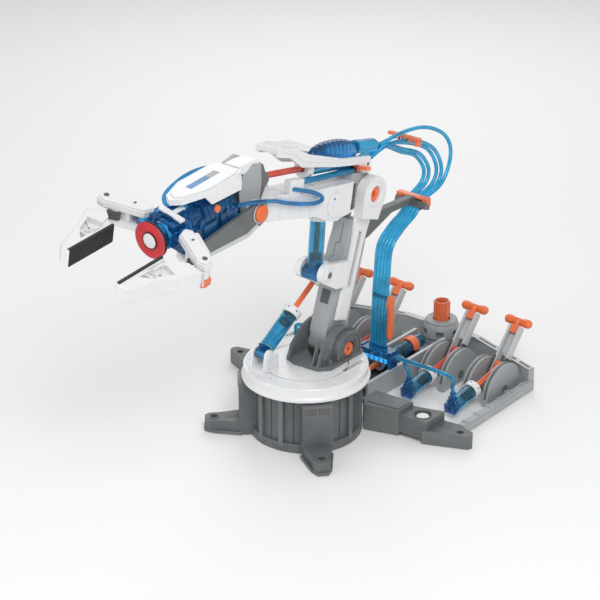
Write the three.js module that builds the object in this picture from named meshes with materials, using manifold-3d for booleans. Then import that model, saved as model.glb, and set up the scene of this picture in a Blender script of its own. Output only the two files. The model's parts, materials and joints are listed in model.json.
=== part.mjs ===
// A hydraulic arm kit: a drum base with a turntable, a jointed arm with a two-jaw gripper and a
// suction cup, and a console with four levers and a knob. Clear cylinders joined by water hoses
// carry each lever's push to the arm. Millimetres, +Z up, +X is the arm's forward direction,
// +Y its left side, and the origin is where the turntable's axis meets the floor.
import * as THREE from 'three';
import { mergeVertices } from 'three/addons/utils/BufferGeometryUtils.js';
import Module from 'manifold-3d';

const wasm = await Module();
wasm.setup();

// Driving dimensions
const GAP = 0.3;
const DRUM_R = 52;
const DRUM_H = 56.6;
const PILASTERS = 14;
const FOOT_ANGLE = 48.5;
const FOOT_HOLE_R = 89;
const HOLE_R = 3.5;
const TABLE_R = 60;
const TABLE_TOP = 70;
const PINION_R = 9;
const SHOULDER = [-30, 81];
const ELBOW = [-79, 223];
const WRIST = [89, 257];
const FRONT_PIN = [-13, 161];
const CLEVIS = [-20, 232];
const CYL_FOOT = [36, 85];
const CYL_LUG = [-44, 135];
const CYL_Y = -24;
const HOSE_COMB = [-168, 182];
const HAND_PITCH = 6;
const HAND_ROLL = -16;
const HAND_AXIS_Z = 20;
const CUP_X = 117.8;
const LEVER_YS = [-100, -47, 47, 100];
const LEVER_PIVOT = [-172, 8];
const LEVER_LEAN = 40;
const LEVER_LEN = 66;
const CYL_R = 7.5;
const ROD_R = 3;
const TURN_CYL_Y = -6;
const TURN_CYL_Z = 18;
const ROUND = 32;
const DEG = Math.PI / 180;
const KNOB_X = -226;
const LEVER_EYE_AT = 22;
const LEVER_CYL_FRONT = [-104, 11.5];
const BACK_WALL_TOP = 25;

// Pivots inside the forearm's frame: the wrist rod's eye and the wrist cylinder's foot.
const WRIST_PIN = [157, 26.5];
const WRIST_CYL = [12, 31];

// Pivots inside the hand's frame: a finger link's inner and outer pins.
const LINK_IN = [98, 24];
const LINK_OUT = [113.3, 56];

// Routes of the hose bundle, as a ribbon of five hoses side by side.
const RIBBON_HALF_THICK = 2.2;
const RIBBON_HALF_WIDE = 10;
const LOOP = [[-84, 0, 250], [-120, 0, 257], [-160, 0, 250], [-196, 0, 232], [-214, 0, 206],
  [-202, 0, 190], [-177, 0, 185]];
const DROP = [[-166, 0, 173], [-141, 0, 162], [-124, 0, 148], [-120, 0, 120], [-118, 0, 98]];
const TAIL = [[-118, 0, 96], [-117, 0, 76], [-116, 0, 58], [-116, 0, 42.4]];

// Shape helpers. Every helper returns a manifold solid.
function solid(geometry) {
  const bare = geometry.index ? geometry.toNonIndexed() : geometry.clone();
  bare.deleteAttribute('normal');
  bare.deleteAttribute('uv');
  const merged = mergeVertices(bare, 1e-4);
  const vertProperties = new Float32Array(merged.attributes.position.array);
  const triVerts = new Uint32Array(merged.index.array);
  const made = new wasm.Manifold(new wasm.Mesh({ numProp: 3, vertProperties, triVerts }));
  if (made.volume() > 0) {
    return made;
  }
  return new wasm.Manifold(new wasm.Mesh({ numProp: 3, vertProperties, triVerts: triVerts.reverse() }));
}

function join(...parts) {
  return parts.reduce((a, b) => a.add(b));
}

function cut(body, ...tools) {
  return tools.reduce((a, b) => a.subtract(b), body);
}

function block(x0, x1, y0, y1, z0, z1) {
  const g = new THREE.BoxGeometry(Math.abs(x1 - x0), Math.abs(y1 - y0), Math.abs(z1 - z0));
  g.translate((x0 + x1) / 2, (y0 + y1) / 2, (z0 + z1) / 2);
  return solid(g);
}

// A round bar between two points.
function bar(r, from, to, sides = 16, r2 = r) {
  const a = new THREE.Vector3(...from);
  const b = new THREE.Vector3(...to);
  const g = new THREE.CylinderGeometry(r2, r, a.distanceTo(b), sides);
  const turn = new THREE.Quaternion().setFromUnitVectors(
    new THREE.Vector3(0, 1, 0), b.clone().sub(a).normalize());
  g.applyQuaternion(turn);
  g.translate((a.x + b.x) / 2, (a.y + b.y) / 2, (a.z + b.z) / 2);
  return solid(g);
}

// A bar along Y at (x, z), the usual direction of a pivot in this object.
function pin(r, x, z, y0, y1, sides = 16) {
  return bar(r, [x, y0, z], [x, y1, z], sides);
}

// A bar along Z at (x, y).
function post(r, x, y, z0, z1, sides = 16) {
  return bar(r, [x, y, z0], [x, y, z1], sides);
}

function outline(points) {
  const shape = new THREE.Shape();
  shape.moveTo(...points[0]);
  points.slice(1).forEach((p) => shape.lineTo(...p));
  shape.closePath();
  return shape;
}

// A flat outline in XY, raised from z0 to z1.
function slab(points, z0, z1) {
  const g = new THREE.ExtrudeGeometry(outline(points), { depth: z1 - z0, bevelEnabled: false });
  g.translate(0, 0, z0);
  return solid(g);
}

// A flat outline in XZ, thick from y0 to y1.
function cheek(points, y0, y1) {
  const g = new THREE.ExtrudeGeometry(outline(points), { depth: y1 - y0, bevelEnabled: false });
  g.rotateX(Math.PI / 2);
  g.translate(0, y1, 0);
  return solid(g);
}

// The outline itself (s is +1) or its mirror image across X (s is -1), still turning the same way.
function flip(points, s) {
  const m = points.map(([x, y]) => [x, y * s]);
  return s > 0 ? m : m.reverse();
}

// Points on an arc, for round stretches of an outline. Angles in degrees.
function arc(x, z, r, from, to, steps = 8) {
  return Array.from({ length: steps + 1 }, (_, i) => {
    const a = (from + (to - from) * i / steps) * DEG;
    return [x + r * Math.cos(a), z + r * Math.sin(a)];
  });
}

// A turned piece about Z, from a profile of [radius, height] pairs that closes on the axis.
function turned(profile, sides = 24) {
  const g = new THREE.LatheGeometry(profile.map((p) => new THREE.Vector2(...p)), sides);
  g.rotateX(Math.PI / 2);
  return solid(g);
}

// A turned ring whose profile closes on itself.
function ring(r0, r1, z0, z1, sides = ROUND) {
  return turned([[r0, z0], [r1, z0], [r1, z1], [r0, z1], [r0, z0]], sides);
}

// A bar with a bevelled section along a smooth curve. w is half its width, h half its height.
function sweep(points, w, h, steps) {
  const curve = new THREE.CatmullRomCurve3(points.map((p) => new THREE.Vector3(...p)));
  const k = Math.min(w, h) * 0.5;
  const shape = outline([[-h, -w + k], [-k, -w], [k, -w], [h, -w + k],
    [h, w - k], [k, w], [-k, w], [-h, w - k]]);
  return solid(new THREE.ExtrudeGeometry(shape, { steps, extrudePath: curve, bevelEnabled: false }));
}

// Colour and roughness of each plastic.
const colours = {
  white: [0xeceded, 0.4],
  grey: [0xa9adae, 0.5],
  dark: [0x55595b, 0.55],
  black: [0x17181a, 0.8],
  orange: [0xf0662a, 0.4],
  red: [0xd8222f, 0.4],
  blue: [0x1f8fd0, 0.15],
};

const kit = new THREE.Group();

function frameAt(x, z, turnDeg, parent = kit) {
  const g = new THREE.Group();
  g.position.set(x, 0, z);
  g.rotation.y = turnDeg * DEG;
  parent.add(g);
  return g;
}

function piece(name, body, colour, parent = kit) {
  const m = body.getMesh();
  const g = new THREE.BufferGeometry();
  g.setAttribute('position', new THREE.BufferAttribute(new Float32Array(m.vertProperties), 3));
  g.setIndex(new THREE.BufferAttribute(new Uint32Array(m.triVerts), 1));
  g.computeVertexNormals();
  const [color, roughness] = colours[colour];
  const mesh = new THREE.Mesh(g, new THREE.MeshStandardMaterial({ color, roughness, metalness: 0 }));
  mesh.name = name;
  parent.add(mesh);
}

// Cross of flat webs at floor level, under the turntable's shaft.
function floorCross() {
  return join(block(-60, 60, -5, 5, -2, 6), block(-5, 5, -60, 60, -2, 6), post(14, 0, 0, -2, 6, 24));
}

// Base drum: ribbed round wall, roof with a bearing ring, two boxed pillars and two bolt-down feet.
function baseDrum() {
  const wall = [[48, 3], [DRUM_R, 3], [DRUM_R, DRUM_H], [6, DRUM_H], [6, 52], [48, 52], [48, 3]];
  let drum = turned(wall, ROUND);
  drum = drum.add(turned([[0, 0], [54.5, 0], [54.5, 7], [0, 7]], ROUND));
  drum = drum.add(ring(40, 46, DRUM_H - 1, 62.7));
  for (let i = 0; i < PILASTERS; i += 1) {
    const rib = block(DRUM_R - 2, DRUM_R + 3, -2.6, 2.6, 5, DRUM_H - 2);
    drum = drum.add(rib.rotate([0, 0, (i + 0.5) * 360 / PILASTERS]));
  }
  for (const side of [-1, 1]) {
    const pillar = block(DRUM_R - 3, 65, -14, 14, 0, DRUM_H - 1);
    const foot = slab([[60, -14], [84, -8.5], [94, -8], [98, -4], [98, 4], [94, 8], [84, 8.5],
      [60, 14]], 0, 13);
    const sole = slab([[62, -16], [90, -10], [98.6, -5], [98.6, 5], [90, 10], [62, 16]], 0, 3);
    const hole = post(HOLE_R, FOOT_HOLE_R, 0, -1, 20, 16);
    const leg = cut(join(pillar, foot, sole), hole);
    drum = drum.add(leg.rotate([0, 0, side * FOOT_ANGLE]));
  }
  const hollow = post(47.5, 0, 0, 3, 52, ROUND).add(post(40, 0, 0, -1, 4, ROUND).subtract(floorCross()));
  const rackWindow = block(-70, -40, -18, 4, 10, 27);
  return cut(drum, hollow, rackWindow);
}

// Turntable: a skirted cap on a shaft, with the pinion at the shaft's lower end.
function turntable() {
  const cap = turned([[0, 12], [PINION_R, 12], [PINION_R, 24], [5.6, 24], [5.6, 63], [58.6, 63],
    [58.6, 57.4], [62, 57.4], [62, 60], [TABLE_R, 62], [TABLE_R, 69], [TABLE_R - 1, TABLE_TOP],
    [0, TABLE_TOP]], ROUND);
  const slot = block(-36, -7, 38, 43, 66, 72);
  const groove = ring(40.5, 41.5, TABLE_TOP - 0.6, TABLE_TOP + 1);
  return cut(cap, slot, groove).add(cylinderFoot());
}

// The clevis on the turntable that holds the shoulder cylinder's lower end.
function cylinderFoot() {
  const [x, z] = CYL_FOOT;
  const base = block(24, 45, CYL_Y - 10, CYL_Y + 10, TABLE_TOP - 1, 73);
  const side = [[25, 72], [44, 72], ...arc(x, z, 6, -10, 190, 8)];
  return join(base, cheek(side, CYL_Y - 10, CYL_Y - 6.6), cheek(side, CYL_Y + 6.6, CYL_Y + 10),
    pin(2.4, x, z, CYL_Y - 8, CYL_Y + 8, 12));
}

// Shoulder bracket: a base plate with a thick near cheek, a ring boss on it and a thin far cheek.
function shoulderBracket() {
  const [x, z] = SHOULDER;
  const base = slab([[-50, -19], [6, -19], [12, -6], [10, 22], [0, 31], [-50, 31]], TABLE_TOP + GAP, 74);
  const near = cheek([[-50, 72], [4, 72], [1, 80], ...arc(x, z, 21, 15, 180, 10)], 14, 23);
  const rim = cheek([[-48, 73], [-12, 73], ...arc(x, z, 18, 0, 180, 12)], 22.5, 29);
  const farSide = [[-50, 72], [10, 72], [4, 86], [-12, 100], [-26, 104], [-40, 98], [-50, 86]];
  const far = cheek(farSide, -16.2, -13);
  const hubRoom = block(x - 12, x + 12, -12.9, 13.9, TABLE_TOP, 75);
  const bores = join(pin(8.3, x, z, 14.8, 40), pin(5.3, x, z, -30, 20), hubRoom);
  return cut(join(base, near, rim, far), bores);
}

function shoulderPin() {
  const [x, z] = SHOULDER;
  return join(pin(5, x, z, -16, 26.5), pin(8, x, z, 15, 26.5));
}

// Console side frame for one side (s is +1 or -1): rail, V-shaped back wall and lever cheeks.
function consoleSide(s) {
  const wall = [[-231, 20], [-231, 44], [-220, 79], [-210, 110], [-204, 130], [-197, 128],
    [-203, 108], [-213, 77], [-224, 43], [-224, 20]];
  let frame = slab(flip(wall, s), 0, BACK_WALL_TOP);
  frame = frame.add(block(-205, -77, s * 124, s * 130, 0, 10));
  frame = frame.add(block(-232, -208, s * 19.9, s * 27, 0, 6));
  const [px, pz] = LEVER_PIVOT;
  const half = [[px - 30, 0], [px + 30, 0], ...arc(px, 6, 30, 0, 180, 12)];
  for (const y of LEVER_YS.filter((lever) => lever > 0)) {
    const wallX = y > 80 ? -208 : -223;
    for (const [y0, y1] of [[y - 16, y - 9], [y + 9, y + 16]]) {
      frame = frame.add(cheek(half, Math.min(s * y0, s * y1), Math.max(s * y0, s * y1)));
      frame = frame.add(block(wallX, px, s * y0, s * y1, 0, 6));
    }
    frame = frame.add(pin(2.6, px, pz, s * (y - 10), s * (y + 10), 12));
  }
  frame = frame.add(block(px - 3, px + 3, s * 115, s * 125, 0, 8));
  return cut(frame, block(-230, -224.6, s * 28, s * 41, 20, 30));
}

// Front beam of the console for one side: dark box section swept back to a bolt-down foot.
function consoleFront(s) {
  const root = slab(flip([[-28, 38], [-36, 38], [-62, 38], [-64, 82], [-41, 81]], s), 0, 27);
  const middle = slab(flip([[-41.5, 80], [-64, 80], [-74, 112], [-44, 112]], s), 4, 23);
  const toe = [[-42, 108], [-72, 104], [-75, 128], [-70, 148], [-65, 151], [-60, 149]];
  const foot = slab(flip(toe, s), 0, 14);
  const tools = [post(HOLE_R, -63, s * 138, -1, 20), post(8.5, -56, s * 99, 20, 30, 20),
    post(56.6, 0, 0, -1, 40, ROUND)];
  return cut(join(root, middle, foot), ...tools);
}

// Two low rails with a floor between them; the turntable's cylinder lies in this trough.
function centreRails() {
  let rails = block(-206, -73, -19.6, 19.6, 2, 5);
  for (const s of [-1, 1]) {
    rails = rails.add(block(-206, -73, s * 16.6, s * 19.6, 0, 23));
  }
  const saddles = join(block(-150, -144, -17, 17, 4, 12), block(-192, -186, -17, 17, 4, 12));
  const c = [TURN_CYL_Y, TURN_CYL_Z];
  return cut(rails.add(saddles), bar(CYL_R + GAP, [-200, ...c], [-70, ...c]));
}

// A cylinder barrel along +Z of its own frame: open tube with a gland and a shaped foot.
function barrel(foot, from, to, glandEnd) {
  const tube = turned([[0, from - 4], [CYL_R, from - 4], [CYL_R, to], [CYL_R + 1.6, to],
    [CYL_R + 1.6, glandEnd], [ROD_R + 0.4, glandEnd], [ROD_R + 0.4, to - 0.5],
    [CYL_R - 1.3, to - 0.5], [CYL_R - 1.3, from], [0, from]], 12);
  return foot.add(tube);
}

// A rod along +Z of its own frame: piston, shaft and an eye along Y at its top.
function rod(piston, top, eyeHalf) {
  const head = bar(CYL_R - 1.6, [0, 0, piston], [0, 0, piston + 3], 12);
  const shaft = bar(ROD_R, [0, 0, piston], [0, 0, top], 10);
  return join(head, shaft, pin(4.6, 0, top, -eyeHalf, eyeHalf, 12));
}

function aim(from, to) {
  return Math.atan2(to[0] - from[0], to[1] - from[1]) / DEG;
}

function distance(from, to) {
  return Math.hypot(to[0] - from[0], to[1] - from[1]);
}

// Lever, in a frame at its pivot with +Z along the lever: a channel with two walls and a hub.
function lever() {
  const wall = [[-5, 4], [-5, LEVER_LEN], [4, LEVER_LEN], [5, 20], [5, 4]];
  const hub = pin(7, 0, 0, -7, 7, 20);
  const web = block(-5, -2.4, -7, 7, 36, LEVER_LEN);
  const body = join(hub, cheek(wall, -7, -4.6), cheek(wall, 4.6, 7), web);
  return cut(body, pin(3, 0, 0, -9, 9, 12));
}

// T-shaped grip, plugged into the top of the lever's channel.
function leverGrip() {
  const z = LEVER_LEN + 5;
  const plug = block(-2, 3.4, -4.3, 4.3, LEVER_LEN - 8, LEVER_LEN + 2);
  const ends = [-1, 1].map((s) => bar(4.6, [0, s * 10, z], [0, s * 15.5, z - 1], 12, 4));
  return join(plug, pin(4.6, 0, z, -10, 10, 12), ...ends);
}

// The rod's eye on a lever, and the line of the lever cylinder, in the object's XZ plane.
const LEVER_EYE = [LEVER_PIVOT[0] - LEVER_EYE_AT * Math.sin(LEVER_LEAN * DEG),
  LEVER_PIVOT[1] + LEVER_EYE_AT * Math.cos(LEVER_LEAN * DEG)];
const LEVER_AIM = aim(LEVER_CYL_FRONT, LEVER_EYE);
const LEVER_ROD = distance(LEVER_CYL_FRONT, LEVER_EYE);

// Lever cylinder, in a frame at its front elbow fitting with +Z towards the lever.
function leverCylinder() {
  const fitting = join(block(-5, 5, -6, 6, -5, 4), bar(2.6, [3, 0, -1], [13, 0, -1], 12));
  return barrel(fitting, 4, 33, 38);
}

// Knob on its windowed housing, between the two halves of the console's back wall.
function knobHousing() {
  const body = turned([[0, 0], [19, 0], [19, 4], [17.5, 6], [17.5, 14], [19, 16], [19, 27], [17, 31],
    [7, 31], [7, 6], [0, 6]], 20);
  const window = block(12, 22, -4, 4, 17.5, 25);
  const windows = [30, 90, 150, 210, 270, 330].map((turn) => window.rotate([0, 0, turn]));
  return cut(body, ...windows).translate([KNOB_X, 0, 0]);
}

function driveKnob() {
  const knob = join(post(8.3, KNOB_X, 0, 31.5, 54, 8), post(6.4, KNOB_X, 0, 8, 33, 16));
  return cut(knob, post(4.5, KNOB_X, 0, 44, 60, 12));
}

// Bridge on the rails that splits the bundle into one small hose for each lever cylinder.
function hoseManifold() {
  let body = join(block(-124, -108, -19.6, 19.6, 30, 42), block(-124, -108, 16.6, 19.6, 23.3, 32),
    block(-124, -108, -19.6, -16.6, 23.3, 32));
  for (const y of LEVER_YS) {
    const s = Math.sign(y);
    const far = Math.abs(y) > 80 ? 1 : 0;
    const path = [[-120 + far * 8, s * 17, 36], [-119 + far * 8, s * 24, 37],
      [-112 + far * 6, s * 34, 39 + far * 3], [-107, y - s * 6, 37 + far * 2], [-105.5, y, 31],
      [-105, y, 26.8]];
    body = body.add(sweep(path, 2, 2, 6));
  }
  return body;
}

// The turntable's cylinder, lying in the trough, with a half-ring clamp over it.
function turnCylinder() {
  const c = [TURN_CYL_Y, TURN_CYL_Z];
  const tube = bar(CYL_R, [-196, ...c], [-124, ...c], 20);
  const clampRing = bar(CYL_R + 2, [-184, ...c], [-174, ...c], 20);
  const clamp = cut(clampRing, block(-200, -160, -30, 20, 0, TURN_CYL_Z));
  return cut(tube.add(clamp), bar(CYL_R - 1.3, [-192, ...c], [-126.5, ...c], 20),
    bar(ROD_R + 0.4, [-150, ...c], [-100, ...c], 12));
}

// Rack that turns the pinion: piston, rod, a link block and a toothed bar inside the drum.
function turnRack() {
  const c = [TURN_CYL_Y, TURN_CYL_Z];
  const rackY = -PINION_R - GAP;
  const head = bar(CYL_R - 1.6, [-160, ...c], [-157, ...c], 20);
  const shaft = bar(ROD_R, [-160, ...c], [-62, ...c], 12);
  const link = block(-65, -61, rackY - 5, TURN_CYL_Y + 4, 14, 22);
  let toothed = join(head, shaft, link, block(-64, 20, rackY - 5, rackY - 1, 14, 22));
  for (let x = -22; x <= 20; x += 4) {
    toothed = toothed.add(block(x - 1.2, x + 1.2, rackY - 2, rackY, 14, 22));
  }
  return toothed;
}

// Lower arm, in a frame at the shoulder with +Z towards the elbow.
const LOWER_LEN = distance(SHOULDER, ELBOW);
const LOWER_AIM = aim(SHOULDER, ELBOW);

function lowerArm() {
  const side = [...arc(0, 0, 10.4, 190, 350, 8), [16, 10], [16, 96], [12, 122], [-12, 122],
    [-16, 100], [-16, 10]];
  const body = cheek(side, -10, 10);
  const hub = pin(10.4, 0, 0, -12.6, 13.6, 24);
  const hollow = join(block(-9, 9, -7, 7, 30, 112), block(-20, -8, -5, 5, 45, 110));
  return cut(join(body, hub), pin(5.3, 0, 0, -20, 20), hollow);
}

// Side cover of the lower arm, which also carries one end of the elbow shaft.
function lowerCover(s) {
  const top = LOWER_LEN;
  const side = [[-9, 24], [9, 24], [9, 100], [13, 128], ...arc(0, top, 17.5, -20, 200, 14),
    [-13, 128], [-9, 100]];
  const y = [10.3 * s, 12.7 * s].sort((a, b) => a - b);
  const yBoss = [10.3 * s, 21 * s].sort((a, b) => a - b);
  const skin = cheek(side, ...y);
  const boss = cheek([[-13, 126], [13, 126], ...arc(0, top, 17.5, -20, 200, 14)], ...yBoss);
  const slot = block(-2.6, 2.6, -30, 30, 58, 112);
  const cover = cut(join(skin, boss), pin(7.8, 0, top, -30, 30), slot);
  return s > 0 ? cover : cover.add(cylinderLug());
}

// Boss on the far cover that backs the shoulder cylinder's eye.
function cylinderLug() {
  const [x, z] = toArm(CYL_LUG);
  return pin(6, x, z, CYL_Y + 3.8, -10.3, 16);
}

// A vector of the XZ plane as seen in a frame turned about Y.
function turnedInto([dx, dz], turnDeg) {
  const c = Math.cos(turnDeg * DEG);
  const s = Math.sin(turnDeg * DEG);
  return [dx * c - dz * s, dx * s + dz * c];
}

// A point of the XZ plane, in the lower arm's own frame.
function toArm([px, pz]) {
  return turnedInto([px - SHOULDER[0], pz - SHOULDER[1]], LOWER_AIM);
}

// White bracket on the front of the lower arm; its pin carries the elbow cylinder.
function frontBracket() {
  const [x, z] = toArm(FRONT_PIN);
  const ear = [[11, 58], [24, 56], ...arc(x, z, 10, -60, 100, 8), [11, 84]];
  return join(cheek(ear, 10.3, 16.6), cheek(ear, -16.6, -10.3), block(16.4, 20, -16.6, 16.6, 60, 78),
    pin(3, x, z, -12, 12, 12));
}

// Dark bracket behind the elbow that holds the lower hose comb.
function hoseBracket() {
  const [x, z] = toArm(HOSE_COMB);
  const arm = [[-16.6, 98], [-16.6, 110], [-28, 128], [x + 5, z + 7], [x - 2, z + 7], [x - 2, z],
    [x + 4, z], [-60, 130], [-30, 106]];
  return join(cheek(arm, -4, 4), block(x - 4, x + 4, -19, 19, z - 3.5, z + 3.5));
}

function elbowCylinder() {
  const lug = join(block(-8, 8, -9.6, 9.6, -7, 6), block(-5, 5, -5, 5, 0, 8));
  return barrel(cut(lug, pin(3.3, 0, 0, -20, 20, 12)), 7, 54, 57.5);
}

// Round foot with a cross hole, for a cylinder that swings on a pin.
function eyeFoot(half) {
  const eye = join(pin(5, 0, 0, -half, half, 16), block(-4, 4, -6, 6, 0, 8));
  return cut(eye, pin(2.8, 0, 0, -20, 20, 12));
}

function shoulderCylinder() {
  return barrel(eyeFoot(6.2), 10, 51, 56);
}

// Forearm, in a frame at the elbow with +X towards the wrist.
const FORE_LEN = distance(ELBOW, WRIST);
const FORE_AIM = aim(ELBOW, WRIST) - 90;

function forearm() {
  const side = [[28, -15], [52, -21], [66, -20], [84, -14], [140, -12],
    ...arc(FORE_LEN, 0, 10.5, -100, 100, 10), [150, 9], [60, 13], [30, 14]];
  const body = cheek(side, -16.6, 16.6);
  const wristGap = block(116, 190, -11.4, 11.4, -30, 30);
  const rodGap = cheek([[33, -30], [74, -30], [70, 6], [44, 6]], -6.4, 6.4);
  const glandGap = block(36, 76, -10.3, 10.3, -30, -10.5);
  return cut(body, wristGap, rodGap, glandGap, pin(5.3, FORE_LEN, 0, -30, 30));
}

function elbowBlock() {
  const side = [...arc(0, 0, 16, 110, 270, 10), [27.6, -15], [27.6, 14], [24, 20], [4, 20]];
  return cut(cheek(side, -9.7, 9.7), pin(7.8, 0, 0, -20, 20));
}

function elbowPin() {
  return cut(pin(7.5, 0, 0, -19, 19), pin(3, 0, 0, 16, 30, 12));
}

// White beam above the forearm; the wrist cylinder lies along it.
function topBeam() {
  const beam = [[2, 20.3], [14, 20.3], [22, 29], [60, 30], [110, 34], [128, 44], [146, 46], [146, 53],
    [128, 54], [100, 45], [50, 37], [6, 36]];
  const sides = join(cheek(beam, 9.8, 13.6), cheek(beam, -13.6, -9.8));
  const bridge = join(block(126, 146, -13.6, 13.6, 48, 53), block(6, 13, -13.6, 13.6, 20.3, 25.4));
  return join(sides, bridge, pin(2.4, 12, 31, -12, 12, 12));
}

function wristCylinder() {
  return barrel(eyeFoot(6), 10, 76, 81);
}

// Wrist carrier, in a frame at the wrist with +X towards the hand: trough and crank.
function wristCarrier(pinAt) {
  const side = [[-10, -6], [-2, -11], [20, -15], [72, -11], [78, -4], [72, 4], [16, 9], [4, 11],
    [-6, 10], [-10, 5]];
  const walls = join(cheek(side, 17, 20.6), cheek(side, -20.6, -17));
  const floor = slab([[16, -18], [72, -18], [72, 18], [16, 18]], -13, -9);
  const [px, pz] = pinAt;
  const a = Math.atan2(pz, px) / DEG;
  const sickle = [[9, -4], [13, 6], ...arc(0, 0, 42, 78, a - 14, 7), ...arc(px, pz, 7, a - 26, 260, 6),
    [-8, -4]];
  const fork = cheek([[-60, 4], [px + 9, 4], [px + 15, 60], [-60, 60]], -3.8, 3.8);
  const crank = cut(cheek(sickle, -9, 9), fork);
  const tie = join(block(14, 19, -18, 18, -11, -5), block(4, 17, -8.6, 8.6, -11, 2));
  return cut(join(walls, floor, crank, tie), pin(5.3, 0, 0, -30, 30));
}

function wristPin() {
  return join(pin(5, 0, 0, -21, 21), pin(8, 0, 0, 20.9, 23.6), pin(8, 0, 0, -23.6, -20.9));
}

function rotationHousing() {
  const z = HAND_AXIS_Z;
  const tube = join(bar(14, [24, 0, z], [62, 0, z], 20), bar(11, [60, 0, z], [76, 0, z], 20));
  const seat = block(22, 68, -13, 13, -8.7, z);
  const dome = bar(7, [40, -6, z + 10], [77, -6, z + 12], 12);
  const inlet = bar(3, [30, 6, z], [30, 16.6, z - 3], 12);
  return cut(join(tube, seat, dome, inlet), bar(6.3, [40, 0, z], [90, 0, z], 16));
}

function wristCover() {
  const top = slab([[12, -14], [20, -17], [60, -17.5], [84, -9], [90, 0], [84, 9], [60, 17.5], [20, 17],
    [12, 14]], 41, 46);
  const skirt = cheek([[18, 30], [56, 32], [64, 42], [16, 42]], -17.4, 17.4);
  const inner = block(0, 100, -15.4, 15.4, 20, 41);
  return cut(join(top, cut(skirt, inner)), block(40, 66, -3.6, 3.6, 30, 50));
}

// Hand, in a frame on the roll axis with +X forward.
function handBody() {
  const shaft = bar(6, [46, 0, 0], [82, 0, 0], 16);
  const hub = join(bar(13, [79, 0, 0], [108, 0, 0], 20), bar(9, [107, 0, 0], [CUP_X - 5, 0, 0], 20));
  const [x, y] = LINK_IN;
  const cross = slab([[84, -12], [92, -18], ...arc(x, -y, 7, 180, 360, 6), [106, -12], [106, 12],
    ...arc(x, y, 7, 0, 180, 6), [92, 18], [84, 12]], -5, 5);
  const pins = [-1, 1].map((s) => post(2.6, LINK_IN[0], s * LINK_IN[1], -10.5, 10.5, 12));
  return join(shaft, hub, cross, ...pins);
}

function suctionCup() {
  const lip = bar(17, [CUP_X - 4.6, 0, 0], [CUP_X - 0.6, 0, 0], 28);
  return lip.add(bar(7.4, [CUP_X - 1, 0, 0], [CUP_X + 1.4, 0, 0], 20));
}

// Finger link: upper and lower straps round the hand's cross arm, joined between the two pivots.
function fingerLink(s) {
  const [x0, y0] = LINK_IN;
  const [x1, y1] = LINK_OUT;
  const strap = flip([[x0 - 6.8, y0 - 1], [x0 - 2, y0 - 7], [x0 + 7, y0 - 4], [x1 + 7, y1 - 2],
    [x1 + 5, y1 + 6], [x1 - 4, y1 + 6.5], [x1 - 8, y1 + 1]], s);
  const core = flip([[x0 - 3, y0 + 9], [x0 + 11, y0 + 8], [x1 - 3, y1 - 12], [x1 - 11, y1 - 8]], s);
  const body = join(slab(strap, 5.4, 11), slab(strap, -11, -5.4), slab(core, -6, 6));
  return cut(body, post(2.9, x0, s * y0, -20, 20, 12), post(2.9, x1, s * y1, -20, 20, 12));
}

// Jaw: ribbed finger with a hub between the straps of its link.
function jaw(s) {
  const [x1, y1] = LINK_OUT;
  const shape = flip([[x1 - 5, y1 - 3], [x1 + 2, y1 - 6], [x1 + 9, y1 - 8], [134, 31], [136, 29.4],
    [187, 29.4], [189, 34], [184, 40], [160, 47], [140, 57], [124, 63], [x1 + 3, y1 + 5], [x1 - 4, y1 + 3]], s);
  const hub = post(6, x1, s * y1, -5, 5, 16);
  const rear = flip([[x1 + 9.5, 40], [200, 20], [200, 75], [x1 + 9.5, 75]], s);
  const deep = slab(shape, -8, 8).intersect(slab(rear, -20, 20));
  const pocket = flip([[138, 33], [168, 33], [160, 42], [142, 50]], s);
  const body = join(slab(shape, -4.9, 4.9), deep, hub, post(2.6, x1, s * y1, -11.6, 11.6, 12));
  return cut(body, slab(pocket, 2, 20), slab(pocket, -20, -2));
}

function pad(s) {
  return block(134, 187.4, s * 26.2, s * 29.1, -9.3, 9.3);
}

// One stretch of the hose bundle.
function hoses(route, steps) {
  return sweep(route, RIBBON_HALF_THICK, RIBBON_HALF_WIDE, steps);
}

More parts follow.
